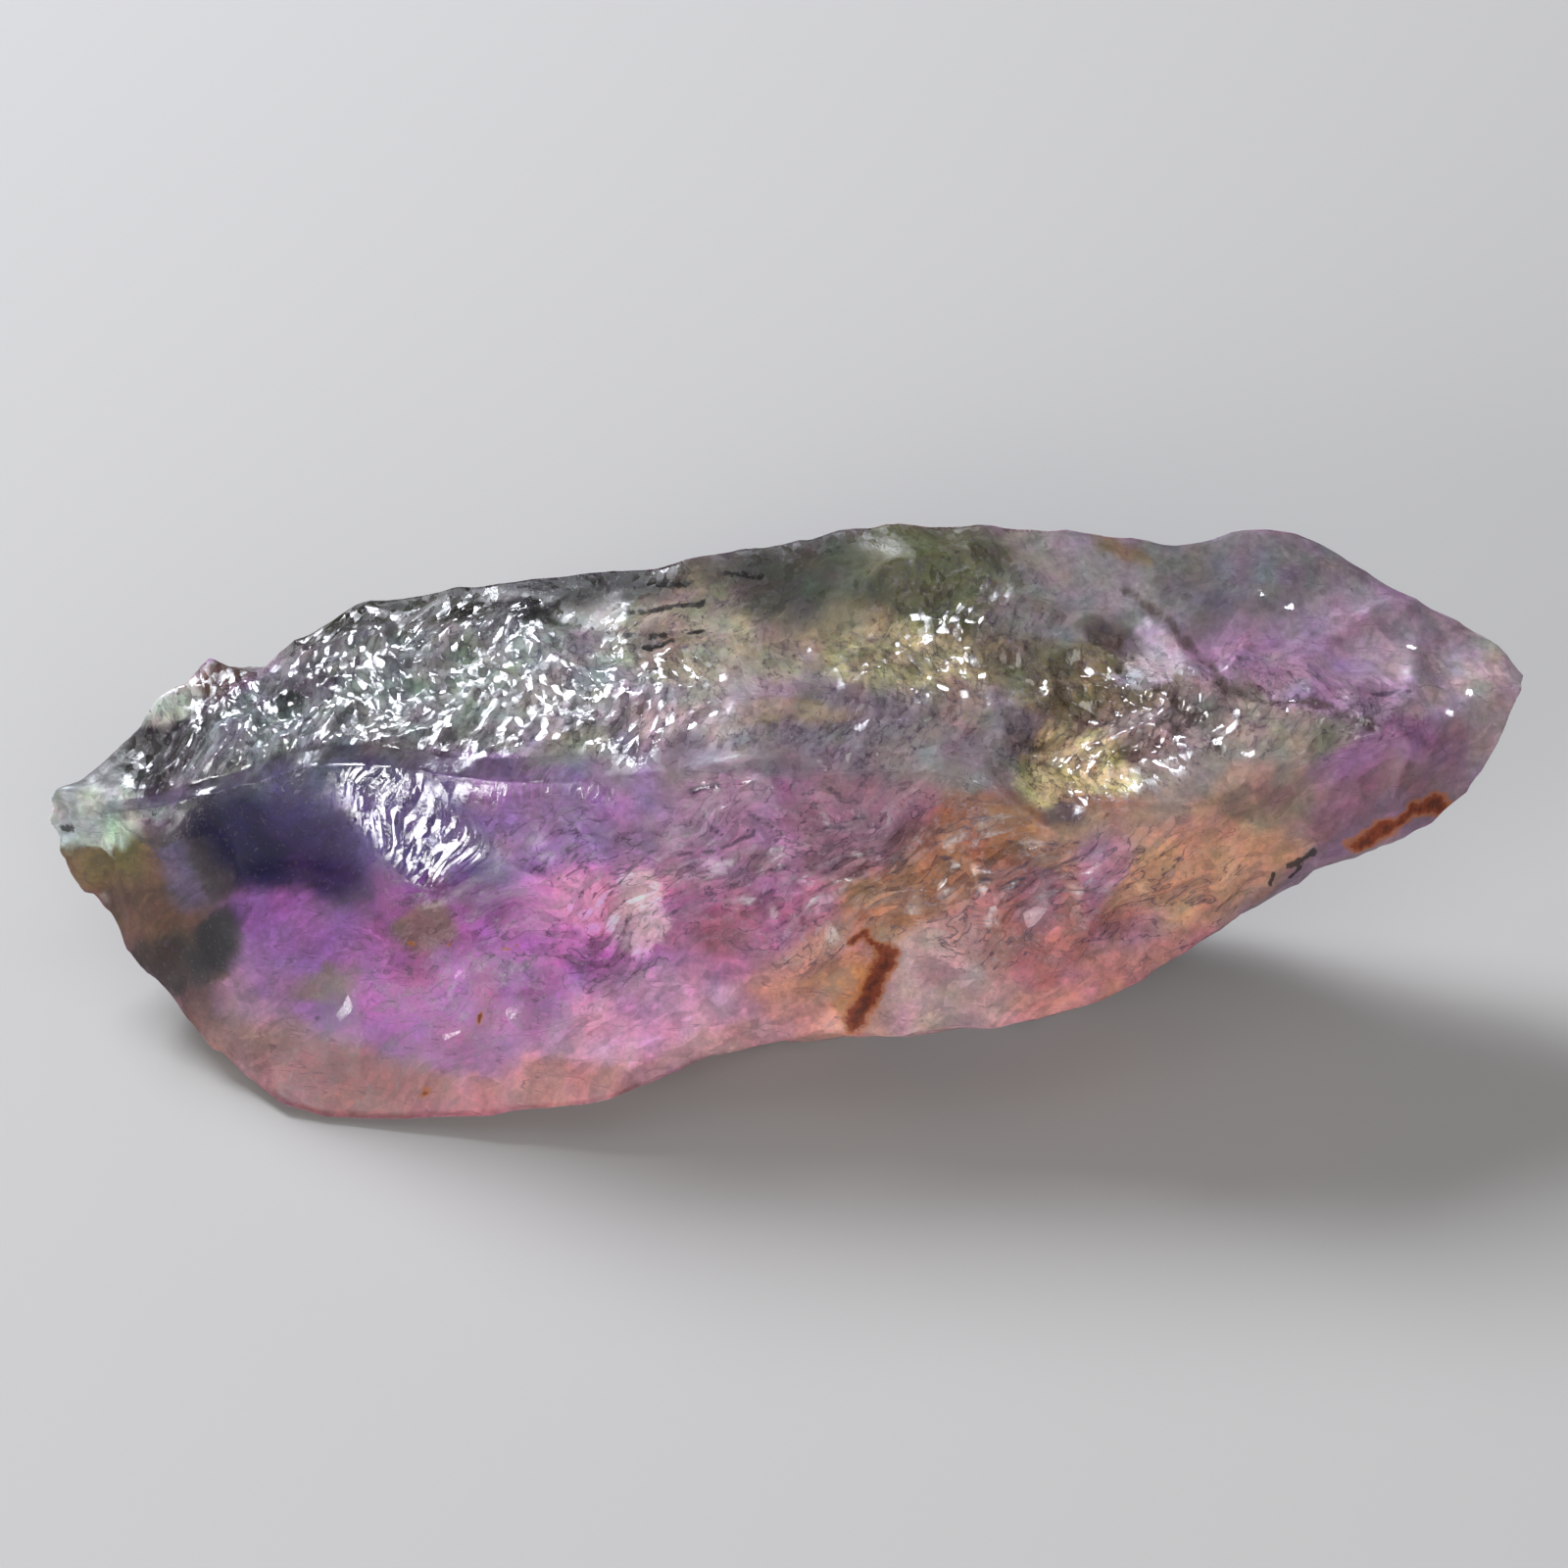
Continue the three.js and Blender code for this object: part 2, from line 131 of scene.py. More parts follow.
# hollows, and lumps with a depth below 0: place, half widths, depth, softness of the rim
HOLLOWS = [
    ((-18.1, -0.9, 8.5), (4.2, 3.4, 2.9), 0.95, 1.4),
    ((-12.6, -2.6, 9.6), (2.4, 2.4, 2.6), 0.35, 1),
    ((-20.6, -2.0, 4.4), (1.7, 2.0, 2.4), 0.45, 1),
    ((-17.2, 2.4, 11.6), (2.2, 1.7, 2.0), 0.7, 1.5),
    ((4.4, 2.6, 14.4), (3.2, 4.2, 2.4), 0.45, 1.5),
    ((8.2, -0.2, 13.2), (2.4, 2.6, 2.0), 0.4, 1.2),
    ((10.7, -1.5, 12.9), (4.0, 3.3, 2.6), 0.85, 1.4),
    ((12.4, 2.2, 14.0), (1.6, 2.2, 1.6), 0.3, 1),
    ((18.0, 2.2, 14.4), (4.4, 3.4, 3.0), 0.95, 1),
    ((21.8, 2.2, 13.6), (2.6, 2.4, 2.0), 0.3, 1),
    ((-8.6, -3.6, 10.2), (2.3, 2.0, 1.7), 0.25, 1),
    ((-4.4, -4.0, 10.0), (2.5, 2.0, 2.0), 0.35, 1),
    ((0.4, -4.0, 10.4), (2.3, 2.0, 1.6), 0.32, 1),
    ((4.6, -4.0, 10.2), (2.4, 2.0, 1.6), 0.3, 1),
    ((8.2, -5.4, 8.4), (2.6, 2.0, 1.9), 0.28, 1),
    ((12.4, -5.4, 8.4), (2.4, 2.0, 2.2), 0.3, 1),
    ((-5.8, -5.3, 7.2), (2.2, 2.0, 1.9), 0.3, 1),
    ((1.6, -6.6, 5.4), (2.0, 2.0, 1.7), 0.3, 1),
    ((18.8, -2.0, 11.6), (3.2, 2.0, 1.6), 0.45, 1),
    ((15.4, -3.8, 10.8), (1.8, 1.8, 1.5), 0.28, 1),
    ((-12.5, -4.2, 6.6), (1.1, 1.4, 0.9), 0.16, 1),
    ((-16.2, -4.6, 4.2), (1.2, 1.4, 0.8), 0.14, 1),
    ((-9.0, 7.6, 8.4), (6.0, 3.5, 4.5), 0.9, 1),
    ((3.0, 8.0, 9.5), (5.0, 3.0, 4.0), 0.7, 1),
    ((12.0, 7.4, 9.0), (4.6, 3.2, 4.6), 0.9, 1),
    ((-1.0, 7.0, 3.6), (5.5, 3.5, 3.0), 0.7, 1),
    ((18.5, 5.0, 6.0), (4.5, 3.5, 3.0), 0.7, 1),
    ((10.0, -3.2, 2.6), (5.0, 3.0, 2.6), 0.6, 1),
    ((-2.0, -4.8, 1.6), (4.5, 2.6, 2.0), 0.5, 1),
    ((18.0, -0.6, 6.2), (4.0, 2.6, 2.2), 0.5, 1),
    ((-25.5, 2.2, 6.3), (1.6, 1.7, 1.5), -1.05, 1.2),
    ((-25.4, 1.5, 4.8), (1.1, 1.3, 1.1), -0.5, 1),
    ((-24.4, 0.2, 3.4), (1.4, 1.6, 1.4), 0.45, 1),
    ((-20.6, -3.4, 1.8), (1.5, 1.5, 1.5), -0.45, 1),
    ((-22.3, 5.6, 8.8), (1.4, 1.6, 1.5), -0.55, 1.5),
    ((-20.6, 5.6, 9.8), (1.0, 1.4, 1.2), -0.35, 1.5),
    ((-17.2, 5.8, 10.8), (1.6, 1.8, 1.6), -0.4, 1.5),
    ((14.2, 0.6, 13.8), (1.3, 2.6, 1.6), -0.3, 1.5),
]

# lumps too small for the solid, in the same form
KNOB_LUMPS = [
    ((-25.4, 2.8, 6.9), (0.9, 1.0, 0.6), -0.5, 1),
    ((-25.4, 2.3, 5.1), (0.6, 0.8, 0.5), -0.3, 1),
]

# how rough the stone is everywhere, and at most
EVEN_ROUGHNESS = 0.25
MOST_ROUGHNESS = 1.8

# where the surface is broken into small chips, and by how much
ROUGH_PLACES = [
    ((-14.5, 2.6, 12.2), (9.5, 5.0, 4.0), 2.0),
    ((10.8, -1.4, 12.8), (4.2, 3.4, 2.6), 1.6),
    ((-12.4, -2.6, 9.6), (3.2, 3.0, 3.2), 0.5),
    ((-6.0, 0.8, 13.2), (4.5, 3.5, 2.6), 1.1),
    ((5.6, 2.0, 14.4), (4.5, 4.5, 2.5), 0.7),
    ((2.0, -4.6, 9.4), (9.5, 3.5, 3.8), 0.85),
    ((-11.0, -5.2, 5.8), (8.0, 3.2, 4.0), 0.35),
    ((11.0, -5.2, 8.0), (7.0, 3.2, 3.6), 0.35),
    ((14.5, 0.2, 13.6), (7.0, 3.0, 2.0), 0.5),
    ((-5.8, -5.2, 7.4), (2.6, 2.4, 2.4), 0.9),
    ((-1.0, 9.0, 7.0), (26.0, 5.0, 12.0), 0.8),
]

# where it is broken on a fine scale only, and by how much
FINE_PLACES = [
    ((-20.5, 2.6, 9.2), (4.2, 3.6, 3.0), 1.0),
    ((-2.5, 3.2, 14.2), (4.5, 3.6, 2.2), 0.4),
    ((2.5, 0.6, 13.8), (4.5, 2.8, 2.0), 0.55),
    ((7.0, 2.6, 14.2), (3.5, 3.0, 1.8), 0.4),
    ((18.0, -0.6, 12.8), (6.0, 2.0, 1.4), 0.6),
    ((-3.0, -1.2, 12.9), (5.5, 1.2, 1.2), 0.6),
    ((11.0, -5.0, 9.0), (6.0, 3.0, 3.0), 0.3),
    ((3.0, -1.6, 13.0), (5.5, 1.6, 1.2), 0.7),
    ((-9.6, -0.9, 12.8), (3.4, 2.2, 1.6), 1.1),
    ((-8.0, -3.6, 9.9), (3.2, 2.4, 2.0), 0.5),
]

# where the break is smooth, and by how much the fine relief is less
SMOOTH_PLACES = [
    ((-5.8, -5.2, 7.6), (2.6, 2.2, 2.4), 0.5),
    ((-18.4, -1.2, 7.6), (4.0, 3.4, 2.8), 0.85),
    ((-12.6, -3.6, 9.2), (3.6, 2.2, 2.6), 0.8),
    ((-16.5, -6.0, 2.5), (7.0, 4.0, 3.6), 0.6),
    ((-12.0, -5.5, 4.6), (7.5, 3.5, 3.6), 0.6),
    ((18.0, 2.0, 13.8), (4.6, 3.4, 3.0), 0.7),
    ((12.5, 1.9, 14.0), (1.2, 1.6, 1.6), 0.8),
    ((-24.5, 1.4, 5.5), (3.0, 3.6, 3.6), 0.7),
    ((-14.5, 6.4, 12.9), (3.8, 2.0, 1.8), 0.85),
    ((-8.6, 6.3, 13.8), (4.2, 1.9, 1.6), 0.85),
    ((-3.5, 6.5, 14.4), (3.0, 1.6, 1.4), 0.6),
]

# where the chips lean alike, and which way
LEANS = [
    ((-6.6, 0.2, 13.4), (2.8, 2.6, 2.0), (-0.24, 0.10, 0.0)),
    ((10.4, -1.4, 12.6), (2.6, 2.0, 2.2), (-0.24, 0.26, 0.0)),
]

# where fine parallel steps turn the surface to one direction: place, half widths, that direction, and how far
STEPS = [
    ((-13.2, -2.5, 9.9), (3.0, 3.2, 2.6), (-0.29, -0.82, 0.48), 0.85),
    ((-8.6, -2.8, 11.7), (4.2, 1.6, 0.8), (-0.31, -0.82, 0.48), 0.65),
    ((-15.8, -3.4, 6.4), (5.0, 2.6, 2.4), (0.05, -0.98, 0.10), 0.6),
    ((-5.6, -5.0, 7.6), (3.0, 2.4, 2.8), (0.25, -0.95, 0.15), 0.5),
    ((2.8, -1.6, 13.0), (5.5, 1.8, 1.4), (0.20, -0.60, 0.77), 0.5),
    ((12.4, 1.9, 14.0), (1.6, 1.8, 1.4), (0.10, -0.30, 0.95), 0.7),
    ((-0.5, 5.0, 14.9), (4.0, 2.2, 1.8), (0.30, -0.10, 0.95), 0.65),
    ((-24.0, 0.9, 5.6), (1.8, 2.0, 2.0), (-0.50, -0.85, -0.10), 0.6),
    ((2.9, -6.2, 5.8), (1.0, 1.2, 1.8), (0.25, -0.95, 0.0), 0.8),
    ((-18.3, -1.0, 8.0), (4.4, 3.4, 2.9), (0.0, -1.0, 0.0), 0.85),
    ((-21.2, -1.4, 5.2), (2.6, 3.2, 3.6), (-0.36, -0.93, -0.05), 0.75),
    ((-19.0, -4.4, 3.0), (2.8, 2.6, 3.2), (-0.30, -0.93, 0.20), 0.7),
    ((-2.0, 3.6, 14.3), (3.8, 3.4, 2.2), (0.25, -0.10, 0.96), 0.6),
    ((16.0, 3.8, 14.9), (5.5, 3.0, 2.2), (0.28, -0.26, 0.92), 0.6),
    ((-11.5, 1.0, 12.8), (6.0, 4.0, 3.0), (-0.30, -0.16, 0.94), 0.45),
    ((-5.2, -1.6, 12.8), (1.8, 1.4, 1.0), (-0.33, -0.16, 0.93), 0.7),
]

# small bright faces, 0.3 to 0.4 mm across, turned toward the light behind
BRIGHT_FACES = [
    (16.5, 4.1, 14.9), (17.5, 3.8, 14.5), (21.7, 2.5, 13.7), (23.7, 1.4, 12.6), (22.9, 0.3, 12.5),
    (15.7, -2.4, 12.8), (14.6, -2.0, 13.0), (11.3, 0.2, 12.5), (9.6, -0.1, 12.4), (5.3, 0.3, 13.6),
    (6.7, 0.8, 13.7), (19.2, -0.4, 13.2), (13.4, -1.6, 12.9),
]
BRIGHT_WAY = (-0.44, -0.18, 0.88)
BRIGHT_HALF = (0.30, 0.16, 0.24)

# where the break is glossy and clear, and by how much less frosted, or more frosted where below 0
CLEAR_PLACES = [
    ((-18.1, -1.0, 8.0), (4.0, 3.4, 2.8), 0.10),
    ((8.6, -6.0, 7.6), (1.8, 1.8, 1.8), -0.25),
    ((10.7, -1.2, 12.9), (3.6, 3.3, 2.6), 0.12),
    ((17.5, 1.5, 13.8), (5.0, 3.0, 2.0), 0.04),
    ((-14.5, 6.6, 12.9), (4.0, 2.0, 1.8), -0.25),
    ((-8.0, 6.5, 13.8), (4.6, 1.9, 1.6), -0.25),
]

# fields of fracture dishes: cell size, stretch along x, y and z, seed
BROAD = (6.0, (0.85, 1.1, 1.1), 3)
CHIPS = (2.6, (0.8, 1.2, 1.2), 5)
FLAKES = (1.6, (0.8, 1.0, 1.25), 6)
CRINKLES = (0.56, (1.2, 0.8, 1.0), 8)
GRIT = (0.42, (1.0, 1.0, 1.0), 9)

# narrow fields on the front, stretched along a slanting line, and that line's turn from level, in degrees
STROKES = (0.9, (0.36, 2.2, 0.7), 11)
STROKE_TURN = 60
SCALES = (1.2, (0.7, 1.9, 1.0), 12)
SCALE_TURN = 30

# the mean height of dishes, which is taken off, and each field's height for a unit of its dishes
DISH_MEAN = 0.15
BROAD_DEPTH = 0.72
CHIP_DEPTH = 0.52
FLAKE_DEPTH = 0.46
CRINKLE_DEPTH = 0.18
GRIT_DEPTH = 0.07
STROKE_DEPTH = 0.08
SCALE_DEPTH = 0.14

# chips too small for the mesh: how many to a millimetre, before the stretch of the field that they follow
STROKE_CHIPS = 3.5
SCALE_CHIPS = 1.8
CRINKLE_CHIPS = 3.0

# where steep glossy strokes cover the front: a wide band below the left part of its ridge, and a narrow strip
STROKE_BANDS = [
    ((-13.2, -2.6, 10.0), (3.0, 3.0, 2.6)),
    ((-8.6, -2.8, 11.7), (4.2, 1.6, 0.7)),
]

# Colours and marks

# lilac clouds, how much they count beside the zones, and the ledge's own colour
DARK_CLOUD = "#806278"
PALE_CLOUD = "#A88C9E"
CLOUD_SHARE = 0.004
LEDGE_COLOUR = "#4E4558"

# the half depth of each zone and patch, along the view
PATCH_DEPTH = 5.0

# broad zones, blended into one another: name, place, half width and half height as seen from the front,
# turn in degrees, colour
ZONES = [
    ("shoulder behind the knob", (-22.8, 3.1, 8.2), (2.2, 0.8), 35, "#3C3C38"),
    ("crinkles, left", (-17.5, 0.5, 11.6), (3.2, 1.5), 20, "#808888"),
    ("crinkles, middle", (-12.7, 1.9, 12.9), (3.2, 2.4), 10, "#888C88"),
    ("crinkles, right", (-7.1, 0.5, 13.5), (2.6, 2.2), 0, "#A0A09C"),
    # painted dark reflection and dark see-through: the rim of the crinkles and the rim left of middle are
    # nearly black
    ("rim of the crinkles", (-13.9, 5.3, 13.4), (3.0, 0.8), 14, "#2C2C18"),
    ("rim, left of middle", (-6.7, 5.4, 14.0), (3.0, 0.9), 4, "#1C1C14"),
    ("top, middle", (-3.5, 2.6, 14.1), (3.0, 1.8), 5, "#B0A490"),
    ("top, right of middle", (0.6, 4.2, 15.0), (2.6, 1.6), 5, "#505048"),
    ("streaks above the ledge", (-3.8, -0.7, 13.3), (3.4, 0.9), 3, "#C4B0B4"),
    ("streaks, middle", (1.9, -0.7, 13.2), (2.4, 0.8), -3, "#807478"),
    ("smooth ledge", (-1.4, -2.4, 12.8), (4.0, 0.7), 2, "#887884"),
    ("citrine glitter", (3.6, 1.9, 14.0), (2.8, 1.1), -18, "#B0A480"),
    ("top, right", (5.0, 4.5, 15.2), (3.0, 1.5), -5, "#606040"),
    ("before the bowl", (5.3, -1.4, 13.0), (1.8, 1.6), -20, "#8C8080"),
    ("top, behind the bowl", (10.1, 4.2, 14.8), (2.6, 1.4), -5, "#989090"),
    ("above the bowl", (9.7, 1.1, 13.5), (2.6, 1.0), -12, "#84785C"),
    # painted glow: a light warm zone where light comes through the stone
    ("glow of the bowl", (10.1, -2.1, 11.9), (1.6, 1.0), 0, "#D8C490"),
    ("right of the bowl", (12.9, -2.0, 12.5), (1.6, 1.6), 10, "#988880"),
    ("hill, right", (15.3, 4.9, 15.0), (2.8, 1.4), 0, "#787074"),
    ("hollow, right", (17.9, 1.8, 14.0), (2.8, 1.5), -15, "#AC88A4"),
    ("rim of the right end", (21.1, 3.4, 13.9), (2.6, 0.9), -28, "#A08C98"),
    ("right end", (23.4, 1.6, 12.8), (2.0, 1.5), -20, "#B8A4AC"),
    ("under the fold, left", (15.6, -1.5, 13.2), (2.6, 0.9), 0, "#A4948C"),
    ("under the fold, right", (21.1, -1.1, 12.2), (2.2, 0.8), 15, "#A07498"),
    ("facet, right", (16.3, -3.0, 10.9), (1.8, 0.9), 12, "#A88C80"),
    ("edge, right", (20.1, -1.6, 11.0), (2.6, 0.7), 25, "#946878"),
    ("peach, lower right", (13.3, -4.6, 9.5), (3.2, 1.5), 24, "#E0A484"),
    ("pink, lower right", (9.2, -6.2, 8.2), (3.0, 1.4), 18, "#B4706C"),
    ("foot, right", (11.0, -6.3, 6.0), (2.6, 0.6), 20, "#D89490"),
    ("fold under the bowl", (10.2, -4.3, 11.2), (2.4, 0.8), 15, "#AC846C"),
    ("orange brown shade", (6.2, -4.0, 10.4), (2.2, 1.2), 10, "#A06448"),
    ("brown shade", (4.2, -4.7, 9.1), (2.2, 1.0), 20, "#B8805C"),
    ("window", (5.3, -6.2, 6.4), (2.2, 1.4), 10, "#D0A8A8"),
    ("mauve, right of middle", (2.5, -3.6, 11.2), (2.2, 1.4), 0, "#A87488"),
    ("lilac, middle", (-2.1, -3.9, 11.0), (2.8, 1.5), 0, "#AC80A0"),
    ("violet, left of middle", (-7.8, -3.1, 10.8), (2.8, 1.4), -5, "#A87CB4"),
    ("glint band", (-12.6, -2.3, 9.7), (2.4, 1.6), -5, "#6C5C90"),
    # painted shade over the stone's own violet: the hollow's navy and violet stand for the unlit inside seen
    # through the scoop
    ("navy hollow", (-18.8, -0.8, 8.1), (1.8, 1.2), -25, "#080840"),
    ("violet hollow", (-16.5, -1.8, 7.4), (2.2, 0.9), -22, "#341C50"),
    ("crest of the hollow", (-16.0, -1.3, 10.6), (2.4, 0.5), 8, "#585C78"),
    ("purple below the band", (-12.2, -4.2, 7.6), (2.6, 0.9), -5, "#944C94"),
    ("magenta, lower left", (-10.3, -5.3, 5.2), (4.2, 1.9), 0, "#B060A8"),
    ("violet, lower left", (-17.2, -3.7, 5.0), (2.2, 1.6), -20, "#985CA4"),
    ("foot, far left", (-19.4, -4.0, 2.4), (1.8, 1.4), -40, "#98706C"),
    ("foot, left", (-14.9, -6.4, 1.2), (3.4, 0.8), -12, "#A46C70"),
    ("foot, middle", (-8.2, -7.3, 1.8), (3.2, 0.8), 10, "#C48488"),
    ("foot, right of middle", (-2.1, -6.8, 3.6), (3.0, 0.6), 16, "#C89498"),
    ("pink, middle", (-5.5, -6.4, 4.4), (3.0, 1.2), 10, "#E0A4C4"),
    ("pink flakes", (-6.5, -4.9, 7.9), (2.0, 1.4), 0, "#E488CC"),
    ("rose, middle", (-1.8, -5.1, 7.7), (2.2, 1.4), 0, "#B8709C"),
    ("beige beside the crack", (1.3, -6.0, 5.8), (1.8, 1.6), 0, "#D89888"),
    ("olive under the knob", (-24.0, 0.9, 5.6), (1.3, 1.0), -20, "#685428"),
    ("brown, left face", (-22.7, -0.6, 4.6), (1.6, 1.1), -40, "#68442C"),
    ("black, left foot", (-21.6, -2.1, 3.1), (1.2, 0.7), -40, "#141010"),
    ("dark red, left foot", (-20.9, -3.0, 2.4), (1.0, 0.6), -40, "#44101C"),
    ("dark end beside the hollow", (-20.9, -0.7, 7.1), (1.2, 1.4), -60, "#403840"),
    # painted shadow: a shaded hollow seen through the stone, as a black spot
    ("black spot", (-20.0, -2.5, 4.5), (0.9, 0.9), 0, "#101010"),
    ("knob", (-25.1, 2.1, 6.9), (1.2, 0.8), 0, "#A0A8A0"),
]

# colour patches, painted one over another: place, half width and half height as seen from the front, turn in
# degrees, colour, strength, and the softness of the rim as a share of the half width
PATCHES = [
    # painted shade over the stone's own violet: the dark of the hollow, the unlit inside seen through the
    # scoop
    ((-17.6, -1.6, 7.7), (3.3, 0.9), -27, "#301850", 0.9, 0.5),
    ((-19.2, -1.0, 7.8), (2.0, 1.2), -32, "#08083C", 0.9, 0.7),
    ((-16.4, -1.4, 9.0), (1.9, 1.0), -25, "#382C60", 0.8, 0.6),
    # painted shadow: the black spot, a shaded hollow seen through the stone
    ((-20.0, -2.5, 4.5), (0.9, 1.0), 10, "#100C14", 0.95, 0.6),
    ((-21.4, -0.8, 6.2), (0.7, 1.0), 30, "#706488", 0.6, 0.8),
    ((-22.2, -1.6, 2.8), (1.1, 0.9), -20, "#301410", 0.8, 0.6),
    ((-24.7, 1.9, 6.7), (2.0, 1.15), 4, "#BCC4BC", 0.95, 0.4),
    ((-22.6, 1.0, 7.8), (2.0, 0.3), 4, "#888C88", 0.8, 0.6),
    ((-22.0, 5.1, 9.5), (1.1, 0.9), 40, "#B0B0A0", 0.85, 0.5),
    ((-20.2, 5.4, 10.2), (1.1, 0.6), 10, "#584828", 0.8, 0.6),
    # painted shade in the pit behind the crinkles
    ((-17.0, 3.2, 11.5), (1.5, 0.8), 20, "#201C20", 0.85, 0.6),
    ((-12.5, -4.1, 6.6), (1.0, 0.9), 0, "#806C4C", 0.75, 0.5),
    ((-16.0, -4.4, 4.2), (1.2, 0.6), 12, "#806C50", 0.75, 0.7),
    ((-15.6, -5.0, 3.4), (1.0, 0.5), 8, "#605074", 0.6, 0.8),
    ((-6.8, -4.8, 8.2), (1.3, 1.0), -10, "#F8A8D0", 0.85, 0.4),
    ((-5.2, -4.7, 7.8), (0.9, 1.4), 0, "#FCC8DC", 0.95, 0.35),
    ((-2.2, -5.2, 7.3), (1.0, 0.9), 0, "#8C402C", 0.55, 0.9),
    ((2.2, -6.2, 5.8), (0.7, 1.3), -15, "#C88840", 0.8, 0.8),
    ((12.5, 1.9, 14.0), (1.3, 1.2), 30, "#D4C4D0", 0.95, 0.15),
    ((11.1, 2.7, 14.0), (0.9, 0.5), -30, "#483428", 0.7, 0.7),
    ((0.2, -0.7, 13.3), (1.9, 0.35), 0, "#A89474", 0.7, 0.8),
    ((12.0, 6.0, 15.4), (1.1, 0.4), -20, "#7C602C", 0.7, 0.7),
    ((16.1, -3.1, 11.0), (1.5, 0.8), -5, "#907468", 0.7, 0.35),
    ((7.4, -4.0, 10.9), (0.8, 0.8), 0, "#A46C28", 0.7, 0.8),
    ((9.1, -4.0, 11.5), (0.9, 0.4), 0, "#3C3848", 0.7, 0.6),
    ((-18.4, -3.7, 3.4), (1.5, 1.3), 20, "#A474A8", 0.6, 0.8),
    ((6.0, -0.8, 13.3), (0.5, 0.9), 12, "#A88C88", 0.7, 0.6),
    ((10.7, -5.2, 9.9), (0.8, 1.5), -8, "#A878A0", 0.6, 0.7),
    ((8.6, -5.4, 9.0), (0.7, 1.1), 10, "#A06888", 0.5, 0.8),
    ((13.2, -4.8, 8.6), (1.6, 0.5), 24, "#C09884", 0.6, 0.8),
    ((11.6, -5.6, 7.4), (1.4, 0.5), 24, "#B88898", 0.6, 0.8),
]

# iron stains, black marks, cracks, and folds with painted shade in their crease: half width, and the places
# that each runs through
RUST_LINES = [
    (0.36, [(3.42, -5.91, 6.94), (3.13, -6.16, 6.15), (2.78, -6.45, 5.35), (2.35, -6.81, 4.49)]),
    (0.15, [(2.19, -5.73, 7.32), (2.6, -5.6, 7.6), (3.42, -5.91, 6.94)]),
    (0.3, [(19.6, -2.3, 8.8), (20.6, -2.0, 9.2), (21.6, -1.7, 9.75), (22.6, -1.2, 9.7), (22.9, -1.1, 9.5)]),
    (0.07, [(-10.3, -4.8, 6.0), (-9.9, -4.85, 6.15), (-9.25, -4.94, 6.45)]),
    (0.11, [(-10.79, -5.73, 3.9), (-10.7, -5.72, 3.97)]),
    (0.09, [(-13.17, -5.45, 3.38), (-13.1, -5.45, 3.38)]),
    (0.11, [(-12.74, -6.84, 1.26), (-12.36, -6.5, 1.5)]),
    (0.09, [(-11.8, -4.44, 5.98), (-11.72, -4.43, 6.07)]),
    (0.09, [(-11.43, -4.34, 6.57), (-11.36, -4.36, 6.56)]),
    (0.08, [(-12.96, -4.11, 5.82), (-12.88, -4.12, 5.81)]),
]
INK_LINES = [
    (0.2, [(17.28, -3.17, 8.54), (18.18, -2.77, 8.83)]),
    (0.12, [(16.68, -3.48, 7.95), (16.76, -3.38, 8.32)]),
    (0.12, [(17.34, -3.21, 8.09), (17.74, -3.03, 8.37)]),
    (0.22, [(-6.17, 5.68, 14.11), (-3.35, 5.39, 14.43)]),
    (0.2, [(-5.58, 4.03, 14.01), (-4.69, 4.04, 14.1), (-3.87, 4.2, 14.23), (-2.91, 4.26, 14.38)]),
    (0.22, [(-5.58, 3.02, 13.88), (-4.2, 2.82, 14.0)]),
    (0.14, [(-3.5, 2.84, 14.06), (-2.96, 2.94, 14.13)]),
    (0.2, [(-4.83, 2.23, 13.87), (-4.02, 2.43, 13.97)]),
    (0.16, [(-2.11, 5.62, 14.63), (-0.94, 5.32, 14.73)]),
    (0.22, [(-25.86, 2.36, 5.82), (-25.68, 2.27, 5.92)]),
]
CRACK_LINES = [
    (0.16, [(-3.35, -3.02, 11.7), (-2.46, -3.0, 11.92), (-1.71, -3.45, 11.59), (-0.94, -3.68, 10.74),
            (-0.11, -3.84, 10.48)]),
    (0.12, [(-2.91, -3.44, 11.21), (-2.61, -3.75, 10.68), (-2.16, -3.81, 10.35)]),
    (0.12, [(-3.8, -3.87, 9.53), (-2.31, -3.9, 9.89), (-1.17, -3.75, 10.5)]),
    (0.11, [(-2.46, -3.86, 9.92), (-1.94, -4.28, 9.26), (-1.78, -4.44, 8.9)]),
    (0.1, [(0.4, -3.86, 10.45), (1.46, -3.81, 10.85), (2.22, -3.94, 10.63)]),
    (0.11, [(2.22, -3.72, 11.1), (3.43, -3.7, 11.14)]),
    (0.11, [(1.31, -3.13, 11.91), (1.76, -3.35, 11.64), (1.91, -3.63, 11.21)]),
    (0.1, [(-8.15, -4.38, 8.62), (-7.15, -3.79, 9.65), (-6.17, -3.65, 10.05)]),
    (0.09, [(-6.17, -4.69, 8.45), (-4.98, -3.88, 9.3), (-3.8, -3.45, 10.24)]),
    (0.18, [(10.97, 2.97, 14.27), (11.46, 2.83, 14.17)]),
    (0.12, [(17.02, -0.65, 13.5), (20.03, -0.85, 13.11)]),
    (0.12, [(18.4, -0.18, 13.56), (21.5, 0.41, 13.3)]),
    (0.14, [(-18.78, -3.71, 2.75), (-17.57, -4.18, 3.33), (-15.64, -5.18, 2.88)]),
    (0.1, [(7.21, -4.97, 9.11), (8.56, -4.91, 9.61), (9.86, -4.89, 10.17)]),
    (0.08, [(8.52, -4.48, 10.54), (9.86, -4.57, 10.82)]),
    (0.1, [(4.93, -4.12, 9.66), (6.61, -4.49, 9.79)]),
    (0.12, [(5.92, -4.98, 9.11), (7.21, -4.84, 9.43), (8.23, -4.71, 10.06)]),
]
